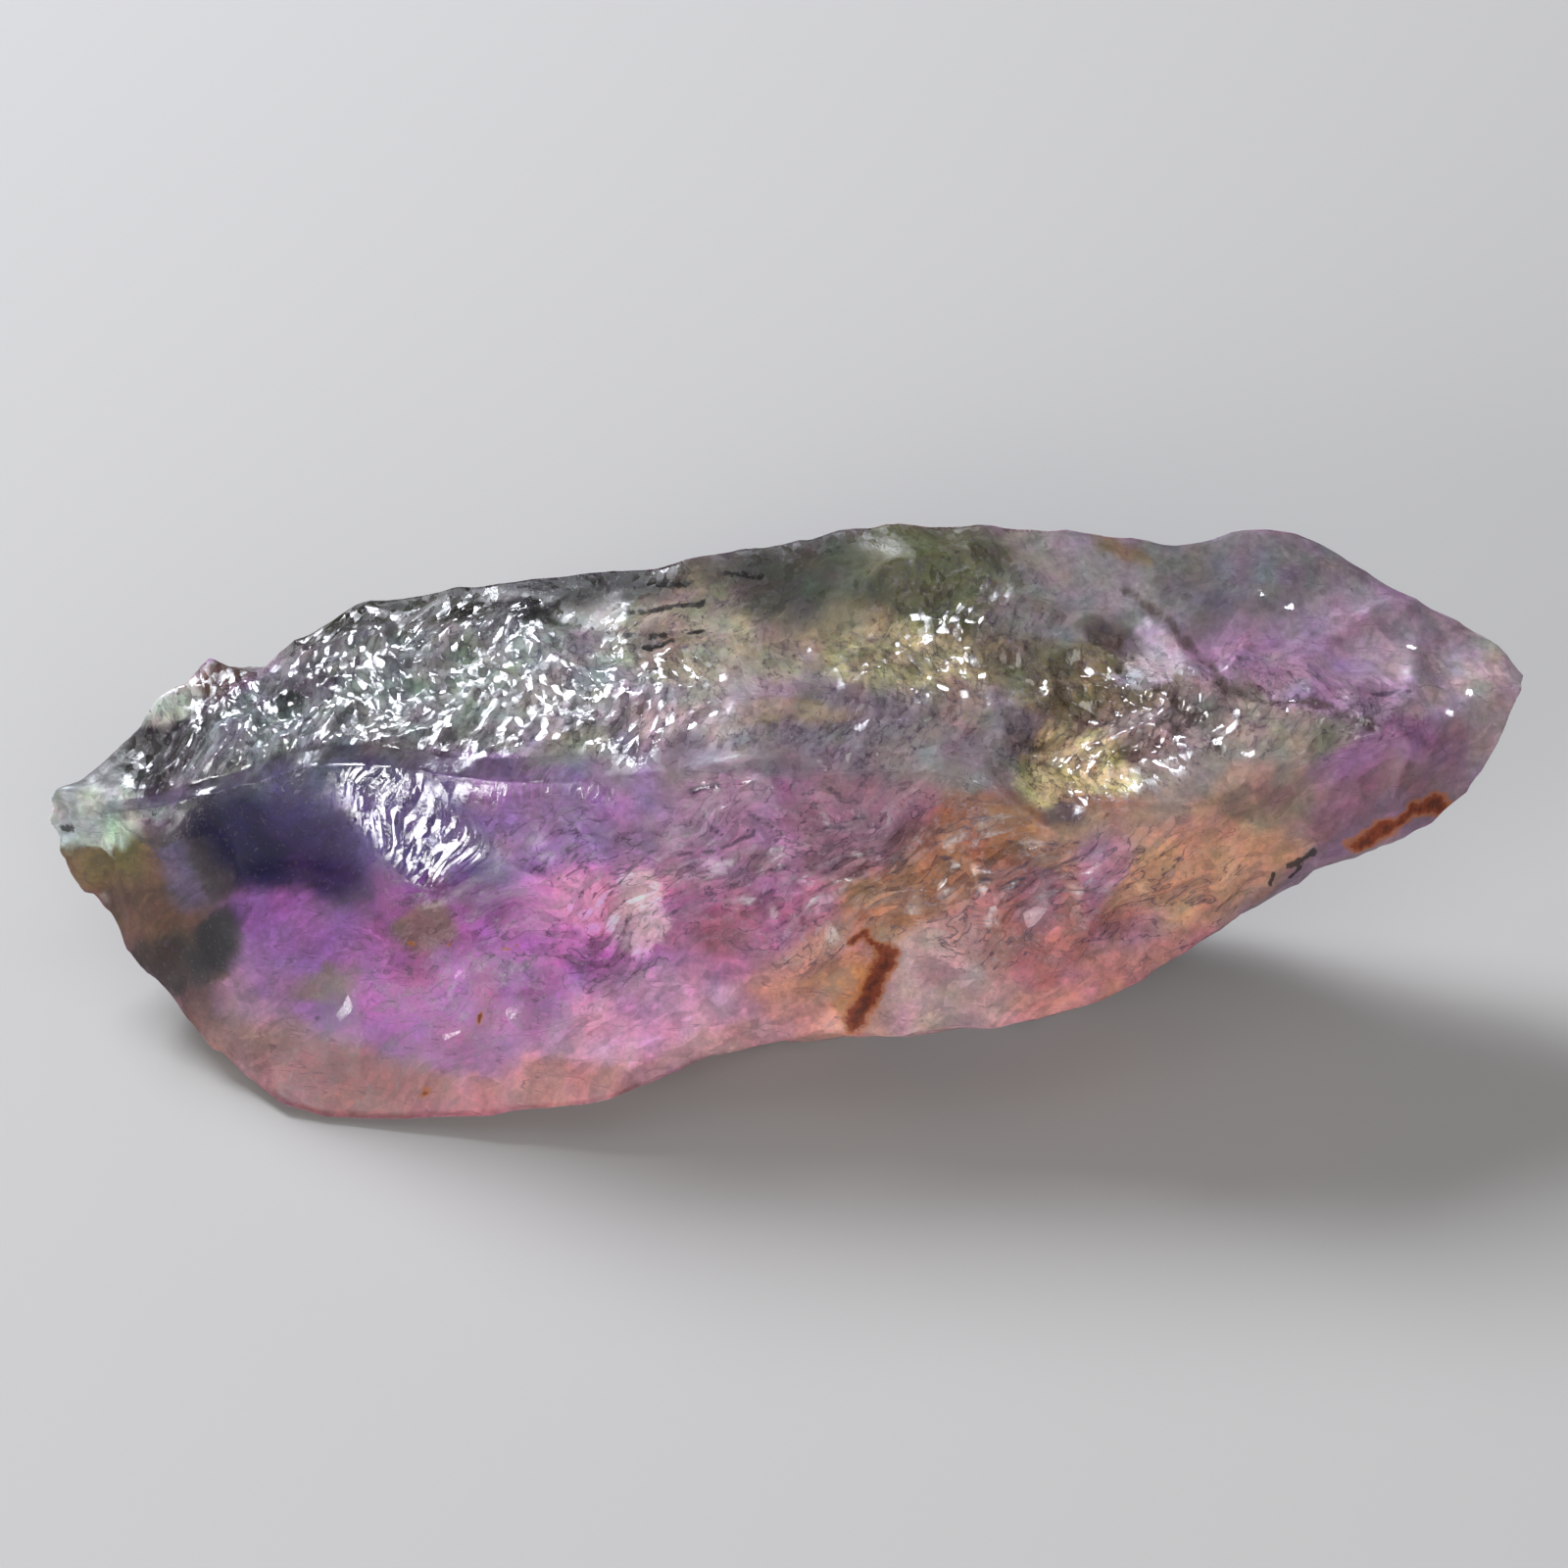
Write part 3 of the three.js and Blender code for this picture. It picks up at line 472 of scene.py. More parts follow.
FOLD_LINES = [
    (0.34, [(11.89, 4.5, 14.83), (12.88, 3.66, 14.5), (13.69, 2.69, 14.19), (14.32, 1.66, 13.87),
            (15.05, 0.08, 13.86), (16.2, -0.18, 13.56), (17.7, -0.39, 13.54), (20.03, -0.99, 13.01)]),
    (0.28, [(11.53, 2.69, 14.09), (11.73, 0.8, 13.76), (12.88, 0.12, 13.63), (14.17, -1.08, 13.25),
            (14.78, -2.21, 12.86)]),
]
LINES = {"rust": RUST_LINES, "ink": INK_LINES, "crack": CRACK_LINES, "fold": FOLD_LINES}

# how far each kind wanders off its own line, how deep the grooves are, and how ragged the rims of the stains
# and of the folds' painted shade are
LINE_WANDER = {"rust": 0.26, "ink": 0.12, "crack": 0.2, "fold": 0.25}
LINE_DEPTH = {"crack": 0.12, "fold": 0.16}
LINE_RAGGEDNESS = {"fold": 1.6, "rust": 1.8, "ink": 3.0}

# stains and crease shade, painted one over another: kind, nearness to its line where the colour begins and
# where it is full, strength, colour; painted shade in the crease of the folds, tinted brown, then iron, amber
# at the rim and red brown in the middle, and black manganese
STAINS_AND_CREASE_SHADE = [
    # painted shade in the crease of the folds, tinted brown
    ("fold", 0.1, 0.6, 0.75, "#48362C"),
    ("rust", -0.4, -0.1, 0.75, "#B86A14"),
    ("rust", 0.0, 0.3, 0.95, "#8C3200"),
    ("rust", 0.45, 0.8, 0.85, "#541400"),
    ("ink", 0.1, 0.4, 0.9, "#1C1A18"),
]
# the pale coat: crests, partly frost and partly painted highlight, pale specks as painted glints and pale
# strokes as painted highlights; the dark coat: cracks, hairlines, dark specks, and painted shade under small
# steps
CREST_AND_GLINT_COLOUR = "#B4A9B4"
CRACK_AND_STEP_SHADE_COLOUR = "#3C2848"

# quartz: refraction, how much light passes through, how far it spreads in the milk (shares for red, green and
# blue of a length in metres), and how high the finest bump is in metres
QUARTZ_IOR = 1.544
SEE_THROUGH = 0.35
MILK_RADIUS = (1.0, 0.65, 0.95)
MILK_SCALE = 0.0003
BUMP_DEPTH = 0.00004
# patterns in it, in mm: mottling, specks (the pale ones painted glints), and hairline cracks, stretched along
# x and y and turned about y
MOTTLE = 0.3125
SPECK = 1 / 6
HAIRLINE = 1 / 0.9
HAIRLINE_STRETCH = (0.16, 0.6, 1.0)
HAIRLINE_TURN = (0, 0.45, 0)
# strokes along the chips: the noise value in their middle, half width as a share of the noise, strength; the
# dark strokes are thin cracks and painted shade under small steps, the pale ones painted highlights on the
# steps' edges
DARK_STROKE = (0.47, 0.024, 0.8)
PALE_STROKE = (0.56, 0.014, 0.5)
# per metre: a ray that crosses 10 mm of the stone keeps about five sixths of its green light
ABSORPTION_COLOUR = "#D0B4D6"
ABSORPTION_DENSITY = 30.0

# Surroundings, in metres

CARD_COLOUR = "#A6A4A1"
ROOM_COLOUR = "#D4D8DE"
ROOM_STRENGTH = 0.26
LIT_PLACE = (0, 0, 0.008)
# square lamps: name, place, width, power in watts, colour
LAMPS = [
    ("key_behind_left", (-0.24, 0.27, 0.33), 0.20, 3.8, "#F2F6FF"),
    ("low_front_left", (-0.29, -0.33, 0.13), 0.14, 1.45, "#FFFFFF"),
    ("front", (0.12, -0.42, 0.26), 0.22, 0.65, "#FFFFFF"),
    ("fill_above", (0.18, -0.10, 0.55), 0.4, 0.4, "#FFFFFF"),
]


def linear(hex_colour):
    """An sRGB hex colour as linear red, green, blue and 1."""
    parts = [int(hex_colour[i:i + 2], 16) / 255 for i in (1, 3, 5)]
    return (*[c / 12.92 if c <= 0.04045 else ((c + 0.055) / 1.055) ** 2.4 for c in parts], 1.0)


def reach(p, at, half):
    """The squared distance from a place, in shares of three half widths."""
    return np.sum(((p - at) / half) ** 2, axis=-1)


def hill(p, at, half, steepness=1.0):
    """A rounded hill, 0 from its half widths on and 1 in the middle, with a flat top where it is steeper."""
    return np.clip(steepness * (1 - reach(p, at, half)), 0, 1)


# The shape

def edge_curves(stations):
    """The nine corners at each station: a smooth curve through the corners of the sections (Catmull-Rom)."""
    corners = range(1, len(SECTIONS[0]))
    points = np.array([[LEFT_TIP, *[(s[0], *s[k]) for s in SECTIONS], RIGHT_TIP] for k in corners])
    last = len(SECTIONS) + 1
    i = np.minimum(np.floor(stations).astype(int), last - 1)
    t = (stations - i)[:, None]
    p0, p1, p2, p3 = (points[:, np.clip(i + n, 0, last)] for n in (-1, 0, 1, 2))
    bend = (2 * p0 - 5 * p1 + 4 * p2 - p3) * t**2 + (3 * p1 - p0 - 3 * p2 + p3) * t**3
    return 0.5 * (2 * p1 + (p2 - p0) * t + bend)


def plain_skin():
    """The skin as (column, row, xyz): across a side a parabola through its three corners, or a straight line.

    Columns run from tip to tip, evenly but for a little crowding toward both tips.
    """
    share = np.arange(1, COLUMNS) / COLUMNS
    share = 0.75 * share + 0.25 * (1 - np.cos(np.pi * share)) / 2
    station_x = [LEFT_TIP[0], *[section[0] for section in SECTIONS], RIGHT_TIP[0]]
    x = LEFT_TIP[0] + share * (RIGHT_TIP[0] - LEFT_TIP[0])
    edges = edge_curves(np.interp(x, station_x, np.arange(len(station_x))))
    rows = []
    for first, middle, last, count in SIDES:
        a, b = edges[first], edges[last]
        for r in range(count):
            t = r / count
            if middle is None:
                rows.append(a * (1 - t) + b * t)
            else:
                bulge = edges[middle] * 4 * t * (1 - t)
                rows.append(a * (1 - t) * (1 - 2 * t) + bulge + b * t * (2 * t - 1))
    return np.stack(rows, axis=1)


def spine_beside(p):
    """The point of the spine beside each place, straight between the spine's own points."""
    x = np.clip(p[..., 0], SPINE[0, 0], SPINE[-1, 0])
    y = np.interp(x, SPINE[:, 0], SPINE[:, 1])
    z = np.interp(x, SPINE[:, 0], SPINE[:, 2])
    return np.stack([x, y, z], axis=-1)


def cut_flat(p, at, out):
    """A place beyond a flat face is drawn toward the spine until it lies on the face."""
    q = spine_beside(p)
    over = (p - at) @ out
    inside = (q - at) @ out
    cut = (over > 0) & (inside < 0)
    share = np.where(cut, inside / np.where(cut, inside - over, 1), 1)
    return q + (p - q) * share[..., None]


def cut_skin():
    """The skin and its two tips as one row of places, cut back to the flat fracture faces."""
    tips = np.array([LEFT_TIP, RIGHT_TIP])
    p = np.concatenate([tips[:1], plain_skin().reshape(-1, 3), tips[1:]])
    for at, out in FLATS:
        p = cut_flat(p, at, out)
    return p


def wobble(p):
    """Bends places by up to about 0.5 mm with two sines for each axis, so that no hollow looks round."""
    x, y, z = p[..., 0], p[..., 1], p[..., 2]
    dx = 0.36 * np.sin(y + 0.8 * z + 0.5) + 0.1 * np.sin(2.9 * z - 2.3 * y + 0.7 * x + 2.0)
    dy = 0.36 * np.sin(0.9 * x + 0.9 * z + 1.7) + 0.1 * np.sin(2.6 * x - 2.1 * z + 0.4)
    dz = 0.36 * np.sin(0.9 * x - 0.8 * y + 3.1) + 0.1 * np.sin(2.7 * y + 2.2 * x + 5.0)
    return p + np.stack([dx, dy, dz], axis=-1)


def scatter(cell, seed, k):
    """A repeatable number from 0 to 1 for each whole-numbered cell: the last digits of a large sine."""
    v = np.sin(cell[..., 0] * 127.1 + cell[..., 1] * 311.7 + cell[..., 2] * 74.7 + seed * 53.3 + k * 19.19)
    v = v * 43758.5453
    return v - np.floor(v)


def dishes(p, field):
    """Dished fracture faces that meet in crests: the lowest of the leaning paraboloids around."""
    return nearest_dish(p, field)[0]


def nearest_dish(p, field):
    """At each place the height of the dishes, the way to the centre of its dish, and the dish's own number.

    A dish is a paraboloid about a scattered centre, away . away + 0.5 away . lean, and the lowest one counts.
    """
    size, stretch, seed = field
    q = p * stretch / size
    lowest = np.full(p.shape[:-1], np.inf)
    inward = np.zeros(p.shape)
    number = np.zeros(p.shape[:-1])
    for shift in np.ndindex(3, 3, 3):
        cell = np.floor(q) + np.array(shift) - 1
        away = q - cell - np.stack([scatter(cell, seed, n) for n in (0, 1, 2)], axis=-1)
        lean = np.stack([scatter(cell, seed, n) for n in (3, 4, 5)], axis=-1) * 2 - 1
        height = np.sum(away * away, axis=-1) + 0.5 * np.sum(away * lean, axis=-1)
        lower = height < lowest
        lowest = np.where(lower, height, lowest)
        inward = np.where(lower[..., None], -away * size / stretch, inward)
        number = np.where(lower, scatter(cell, seed, 6), number)
    return lowest - DISH_MEAN, inward, number


def noise(p, size, seed):
    """Smooth noise from 0 to 1: the scattered numbers of the eight cell corners, blended."""
    q = p / size
    cell = np.floor(q)
    t = q - cell
    t = t * t * (3 - 2 * t)
    total = np.zeros(p.shape[:-1])
    for corner in np.ndindex(2, 2, 2):
        share = np.prod(np.where(np.array(corner) == 1, t, 1 - t), axis=-1)
        total += share * scatter(cell + np.array(corner), seed, 0)
    return total


def drift(p, size, seed):
    """Three noises from -1 to 1, as a vector, each of two octaves."""
    axes = []
    for axis in range(3):
        broad = noise(p, size, seed + axis)
        fine = noise(p, 0.45 * size, seed + axis + 10)
        axes.append((0.67 * broad + 0.33 * fine) * 2 - 1)
    return np.stack(axes, axis=-1)


def turned(p, turn):
    """Places as seen from the front: along a line turned by some degrees, across it, and toward."""
    c, s = math.cos(math.radians(turn)), math.sin(math.radians(turn))
    right, rise = p[..., 0], p @ RISE
    return np.stack([right * c + rise * s, rise * c - right * s, p @ TOWARD], axis=-1)


def line_nearness(p, kind):
    """1 on the marks of that kind, 0 at their half width, and down to -1 beyond it, made ragged by noise."""
    nearest = np.full(p.shape[:-1], -1.0)
    p = p + LINE_WANDER[kind] * drift(p, 0.6, 70)
    for half, points in LINES[kind]:
        ends = np.array(points)
        for a, b in zip(ends[:-1], ends[1:]):
            share = np.clip((p - a) @ (b - a) / max((b - a) @ (b - a), 1e-9), 0, 1)
            away = np.linalg.norm(p - a - share[:, None] * (b - a), axis=-1)
            nearest = np.maximum(nearest, 1 - away / half)
    return nearest


def coarse_roughness(w):
    """How rough the stone is: a low even value, plus a hill at each rough place."""
    total = np.full(w.shape[:-1], EVEN_ROUGHNESS)
    for at, half, amount in ROUGH_PLACES:
        total += amount * hill(w, at, half)
    return np.minimum(total, MOST_ROUGHNESS)


def along_rows(front, ledge):
    """A value for every vertex: one for each row of the front, one for all of the ledge, and 0 beyond."""
    rows = np.zeros(ROWS)
    rows[:FRONT_ROWS] = front
    rows[FRONT_ROWS:FRONT_ROWS + LEDGE_ROWS] = ledge
    return np.concatenate([[0], np.tile(rows, COLUMNS - 1), [0]])


def regions(p, w):
    """How far each place is on the front, the ledge and the strokes, and how calm, rough and broken it is."""
    up_the_front = np.arange(FRONT_ROWS) / FRONT_ROWS
    front = along_rows(np.clip((1 - up_the_front) / FRONT_FADE, 0, 1), 0)
    ledge = along_rows(0, 1) * np.interp(p[:, 0], LEDGE_X, (0, 1, 1, 0))
    band = np.zeros(len(p))
    for at, half in STROKE_BANDS:
        band = np.maximum(band, hill(w, at, half, 1.6))
    calm = np.ones(len(p))
    for at, half, amount in SMOOTH_PLACES:
        calm *= 1 - amount * hill(w, at, half, 1.4)
    rough = coarse_roughness(w)
    for at, half, amount in FINE_PLACES:
        rough = rough + amount * hill(w, at, half)
    rough = np.minimum(rough, MOST_ROUGHNESS) * (1 - 0.8 * ledge)
    broken = np.clip(rough - 0.3, 0, 1.4)
    return SimpleNamespace(front=front, ledge=ledge, band=band, calm=calm, rough=rough, broken=broken)


def coarse_relief(w):
    """The relief that the solid has too: broad dishes and chips, less the hollows."""
    chips = dishes(w, CHIPS)
    height = BROAD_DEPTH * dishes(w, BROAD) + CHIP_DEPTH * (0.2 + 0.5 * coarse_roughness(w)) * chips
    for at, half, depth, soft in HOLLOWS + KNOB_LUMPS:
        height -= depth * np.clip(1 - reach(w, at, half) - 0.7 * chips, 0, 1) ** soft
    return height


def fine_relief(p, w, flakes, region):
    """The relief too fine for the solid: less of it on the ledge, among the strokes and where it is calm."""
    keep = (1 - region.ledge) * (1 - 0.5 * region.band) * region.calm
    fine = (0.06 + region.broken) * keep * (1 - 0.6 * region.front)
    height = FLAKE_DEPTH * (0.3 + 0.4 * region.rough) * keep * flakes
    height += fine * (CRINKLE_DEPTH * dishes(w, CRINKLES) + GRIT_DEPTH * dishes(w, GRIT))
    height += STROKE_DEPTH * region.band * dishes(turned(w, STROKE_TURN), STROKES)
    height += SCALE_DEPTH * region.rough * region.front * keep * dishes(turned(w, SCALE_TURN), SCALES)
    for kind, depth in LINE_DEPTH.items():
        height -= depth * np.clip(line_nearness(p, kind), 0, 1)
    return height


def outward(p):
    """The way out of the surface at each place, from the places beside it on the grid, and up at the tips."""
    grid = p[1:-1].reshape(COLUMNS - 1, -1, 3)
    along = np.gradient(grid, axis=0)
    around = np.roll(grid, -1, axis=1) - np.roll(grid, 1, axis=1)
    way = np.cross(along, around)
    way /= np.maximum(np.linalg.norm(way, axis=-1, keepdims=True), 1e-9)
    tips = np.array([[0.0, 0.0, 1.0]])
    return np.concatenate([tips, way.reshape(-1, 3), tips])


def bright_faces(p):
    """1 on the small bright faces, with ragged rims, and 0 beyond them."""
    ragged = p + 0.12 * drift(p, 0.4, 150)
    bright = np.zeros(len(p))
    for at in BRIGHT_FACES:
        bright = np.maximum(bright, hill(ragged, at, BRIGHT_HALF, 1.8))
    return bright


def leaning(p, w, ledge, bright):
    """How far the shading leans off the way out, with the chips, the steps and the bright faces."""
    out = outward(p)
    lean = np.zeros(p.shape)
    for at, half, push in LEANS:
        lean += hill(w, at, half, 1.5)[:, None] * push
    for at, half, way_out, amount in STEPS:
        lean += amount * hill(w, at, half, 1.5)[:, None] * (way_out - out)
    lean *= 1 - 0.9 * ledge[:, None]
    return lean + bright[:, None] * (BRIGHT_WAY - out - lean)


def frosting(w, region, bright):
    """How frosted the stone is: less where it is broken small, stroked, clear or bright, and on the ledge."""
    frost = 0.46 - 0.26 * np.clip(region.rough - 0.35, 0, 1) - 0.26 * region.band
    for at, half, amount in CLEAR_PLACES:
        frost -= amount * hill(w, at, half, 1.5)
    frost += 0.08 * region.front * (1 - region.band) - 0.24 * region.ledge - 0.4 * bright
    return np.clip(frost, 0.08, 0.7)


def chip_tilt(region, bright):
    """Each chip's tilt: more where the stone is broken small, less where it is calm or bright."""
    tilt = (0.08 + 0.40 * np.clip(region.rough - 0.2, 0, 1.3)) * (1 + 0.05 * region.band)
    tilt *= 1 - 0.25 * region.front * (1 - region.band)
    return tilt * np.maximum(np.minimum(2 * region.band, 1), 0.35 + 0.65 * region.calm) * (1 - 0.8 * bright)


def chip_grid(w, region):
    """Places in the grid of chips: stretched along the strokes, along the scales, or as the crinkles are."""
    stroke_chips = STROKE_CHIPS * turned(w, STROKE_TURN) * STROKES[1]
    scale_chips = SCALE_CHIPS * turned(w, SCALE_TURN) * SCALES[1]
    crinkle_chips = CRINKLE_CHIPS * w * CRINKLES[1]
    elsewhere = np.where((region.front > 0.5)[:, None], scale_chips, crinkle_chips)
    return np.where((region.band > 0.4)[:, None], stroke_chips, elsewhere)


def stone_surface():
    """The finished surface, and by name the numbers and vectors that its material needs at each place.

    Each place of the skin moves by the relief along its line from the spine, and none goes below the floor.
    """
    p = cut_skin()
    w = wobble(p)
    region = regions(p, w)
    flakes = dishes(w, FLAKES)
    height = coarse_relief(w) + fine_relief(p, w, flakes, region)
    way = p - spine_beside(p)
    way /= np.linalg.norm(way, axis=-1, keepdims=True)
    p = p + way * height[:, None]
    p[:, 2] = np.maximum(p[:, 2], 0)
    bright = bright_faces(p)
    return p, {
        "broken": region.rough,
        "crest": flakes * region.broken,
        "front": region.front * (1 - region.band),
        "frost": frosting(w, region, bright),
        "tilt": chip_tilt(region, bright),
        **{kind: line_nearness(p, kind) for kind in LINES},
        "zone": zone_colours(p, region.ledge),
        "chip_place": chip_grid(w, region),
        "lean": leaning(p, w, region.ledge, bright),
    }


def ellipse_reach(p, at, half, turn):
    """The squared distance from a place, seen from the front, in shares of a turned ellipse's half axes."""
    away = turned(p - at, turn) / (*half, PATCH_DEPTH)
    return np.sum(away * away, axis=-1)


def patch_cover(p, at, half, turn, soft):
    """How far a patch covers each place: 1 within its ellipse, falling to 0 over its soft rim."""
    t = np.clip((1 + soft / 2 - np.sqrt(ellipse_reach(p, at, half, turn))) / soft, 0, 1)
    return t * t * (3 - 2 * t)


def painted(colour, share, hex_colour):
    """A plain colour painted over others by a share."""
    share = share[:, None]
    return colour * (1 - share) + np.array(linear(hex_colour)) * share


def zone_colours(p, ledge):
    """The linear colour of the quartz at each place: lilac clouds, the broad zones, and small patches on top.

    Each zone counts by a bell, e to the power -2 d^2, with d the distance in shares of its ellipse, and the
    colour is the mean of all. Flakes shift the colour a little, so that it breaks at their edges.
    """
    inward, number = nearest_dish(wobble(p), FLAKES)[1:]
    bent = p + 0.15 * inward + 0.8 * drift(p, 2.6, 20) + 0.3 * drift(p, 0.8, 40)
    clouds = noise(bent, 5.0, 60) * 0.6 + noise(bent, 1.9, 61) * 0.4
    dark_cloud = np.tile(linear(DARK_CLOUD), (len(p), 1))
    colour = painted(dark_cloud, np.clip((clouds - 0.3) / 0.4, 0, 1), PALE_CLOUD) * CLOUD_SHARE
    total = np.full((len(p), 1), CLOUD_SHARE)
    for _, at, half, turn, hex_colour in ZONES:
        share = np.exp(-2 * ellipse_reach(bent, at, half, turn))[:, None]
        colour += share * np.array(linear(hex_colour))
        total += share
    colour /= total
    bent = p + 0.2 * inward + 0.35 * drift(p, 1.2, 80) + 0.15 * drift(p, 0.5, 90)
    for at, half, turn, hex_colour, strength, soft in PATCHES:
        colour = painted(colour, strength * patch_cover(bent, at, half, turn, soft), hex_colour)
    colour = painted(colour, 0.8 * ledge * (0.6 + 0.4 * noise(p, 0.8, 95)), LEDGE_COLOUR)
    return colour[:, :3] * (0.82 + 0.36 * number)[:, None] * (1 + 0.2 * drift(p, 0.8, 120))


def placed(name, data):
    """A new object in the scene, with that mesh, lamp or camera."""
    thing = bpy.data.objects.new(name, data)
    bpy.context.scene.collection.objects.link(thing)
    return thing


def new_stone():
    """The stone's mesh: rings of rows joined in quads, and a fan of triangles at each tip."""
    p, values = stone_surface()
    ring = np.arange(ROWS)
    step = np.roll(ring, -1)
    starts = 1 + ROWS * np.arange(COLUMNS - 2)[:, None]
    quads = np.stack([starts + ring, starts + ROWS + ring, starts + ROWS + step, starts + step], axis=-1)
    last_ring = 1 + ROWS * (COLUMNS - 2)
    left = np.stack([np.zeros(ROWS, int), 1 + ring, 1 + step], axis=-1)
    right = np.stack([np.full(ROWS, len(p) - 1), last_ring + step, last_ring + ring], axis=-1)
    mesh = bpy.data.meshes.new("ametrine_stone")
    mesh.from_pydata((p * MM).tolist(), [], quads.reshape(-1, 4).tolist() + left.tolist() + right.tolist())
    mesh.polygons.foreach_set("use_smooth", np.ones(len(mesh.polygons), bool))
    for name, numbers in values.items():
        kind, field = ("FLOAT", "value") if numbers.ndim == 1 else ("FLOAT_VECTOR", "vector")
        layer = mesh.attributes.new(name, kind, "POINT")
        layer.data.foreach_set(field, numbers.astype(np.float32).ravel())
    mesh.update()
    return placed("ametrine_stone", mesh)


# Materials
# the inputs of a MapRange are a value, the two ends of its range, and the two values that they become

def add(tree, kind, inputs=(), **settings):
    """Adds a shader node, with its settings and with its inputs, given by name or in order.

    An input is a plain value, a socket to link, or a node, which stands for its first output.
    """
    node = tree.nodes.new("ShaderNode" + kind)
    for name, value in settings.items():
        setattr(node, name, value)
    for name, source in inputs.items() if isinstance(inputs, dict) else enumerate(inputs):
        if isinstance(source, bpy.types.Node):
            source = source.outputs[0]
        if isinstance(source, bpy.types.NodeSocket):
            tree.links.new(source, node.inputs[name])
        else:
            node.inputs[name].default_value = source
    return node


def carried_numbers(tree):
    """The numbers that every place of the mesh carries, by name."""
    names = ("broken", "crest", "front", "frost", "tilt", *LINES)
    return {name: add(tree, "Attribute", attribute_name=name).outputs["Fac"] for name in names}


def carried_vectors(tree):
    """The vectors that every place of the mesh carries, by name."""
    names = ("zone", "chip_place", "lean")
    return {name: add(tree, "Attribute", attribute_name=name).outputs["Vector"] for name in names}


def chip_tone(tree, grain, broken, chip_number, from_middle):
    """How light each place is beside its zone: mottled, with a tone for each chip, and darker at its rim."""
    mottled = add(tree, "MapRange", (grain, 0.3, 0.7, 0.72, 1.28))
    spread = add(tree, "MapRange", (broken, 0.5, 1.4, 0.36, 0.9))
    off_mean = add(tree, "Math", (chip_number, 0.5), operation="SUBTRACT")
    chip = add(tree, "Math", (off_mean, spread, 1.0), operation="MULTIPLY_ADD")
    # painted shade: each chip darkens toward its rim, as shade in the gaps between chips, most where the
    # break is rough
    rim = add(tree, "MapRange", (from_middle, 0.4, 0.8, 0.0, 1.0))
    rim_depth = add(tree, "MapRange", (broken, 0.6, 1.3, 0.0, 0.4))
    shade = add(tree, "Math", (rim, rim_depth), operation="MULTIPLY")
    inside = add(tree, "Math", (1.0, shade), operation="SUBTRACT")
    tone = add(tree, "Math", (mottled, chip), operation="MULTIPLY")
    return add(tree, "Math", (tone, inside), operation="MULTIPLY")


def hairlines(tree, mm, grain):
    """Hairline cracks: where a stretched noise crosses its middle, broken off by the mottling."""
    stretched = add(tree, "Mapping", {"Vector": mm, "Rotation": HAIRLINE_TURN, "Scale": HAIRLINE_STRETCH})
    veins = add(tree, "TexNoise", {"Vector": stretched, "Scale": 1 / HAIRLINE, "Detail": 3.0})
    signed = add(tree, "Math", (veins, 0.5), operation="SUBTRACT")
    off_middle = add(tree, "Math", (signed,), operation="ABSOLUTE")
    hair = add(tree, "MapRange", (off_middle, 0.0, 0.010, 0.6, 0.0))
    kept = add(tree, "MapRange", (grain, 0.48, 0.56, 0.0, 1.0))
    return add(tree, "Math", (hair, kept), operation="MULTIPLY")


def chip_strokes(tree, chip_place, chip_number, broken):
    """Short strokes along the chips, as [dark, pale], each broken off at the rim of a chip.

    A stroke is where a noise along the chips is within a half width of its own middle value. The dark strokes
    are thin cracks and painted shade under small steps, the pale ones painted highlights on the steps' edges.
    """
    noise_along = add(tree, "TexNoise", {"Vector": chip_place, "Scale": 0.55, "Detail": 3.0})
    some_chips = add(tree, "MapRange", (chip_number, 0.35, 0.4, 0.0, 1.0))
    where_broken = add(tree, "MapRange", (broken, 0.3, 0.6, 0.0, 1.0))
    kept = add(tree, "Math", (some_chips, where_broken), operation="MULTIPLY")
    strokes = []
    for middle, half_width, strength in DARK_STROKE, PALE_STROKE:
        signed = add(tree, "Math", (noise_along, middle), operation="SUBTRACT")
        off_middle = add(tree, "Math", (signed,), operation="ABSOLUTE")
        stroke = add(tree, "MapRange", (off_middle, 0.0, half_width, strength, 0.0))
        strokes.append(add(tree, "Math", (stroke, kept), operation="MULTIPLY"))
    return strokes


def specks(tree, grit, broken):
    """Specks of about 0.1 mm, as [dark, pale]: the lows and the highs of the fine noise; the pale ones are
    painted glints.
    """
    share = add(tree, "MapRange", (broken, 0.3, 0.8, 0.2, 1.0))
    lows = add(tree, "MapRange", (grit, 0.32, 0.40, 0.45, 0.0))
    highs = add(tree, "MapRange", (grit, 0.60, 0.70, 0.0, 0.45))
    return [add(tree, "Math", (speck, share), operation="MULTIPLY") for speck in (lows, highs)]


def stain_and_crease_shade_nearness(tree, grain, numbers):
    """For each kind of stained mark, and for the folds with their painted shade, how near a place is to its
    line, made ragged by the mottling.
    """
    off_grain = add(tree, "Math", (grain, 0.5), operation="SUBTRACT")
    return {kind: add(tree, "Math", (off_grain, amount, numbers[kind]), operation="MULTIPLY_ADD")
            for kind, amount in LINE_RAGGEDNESS.items()}


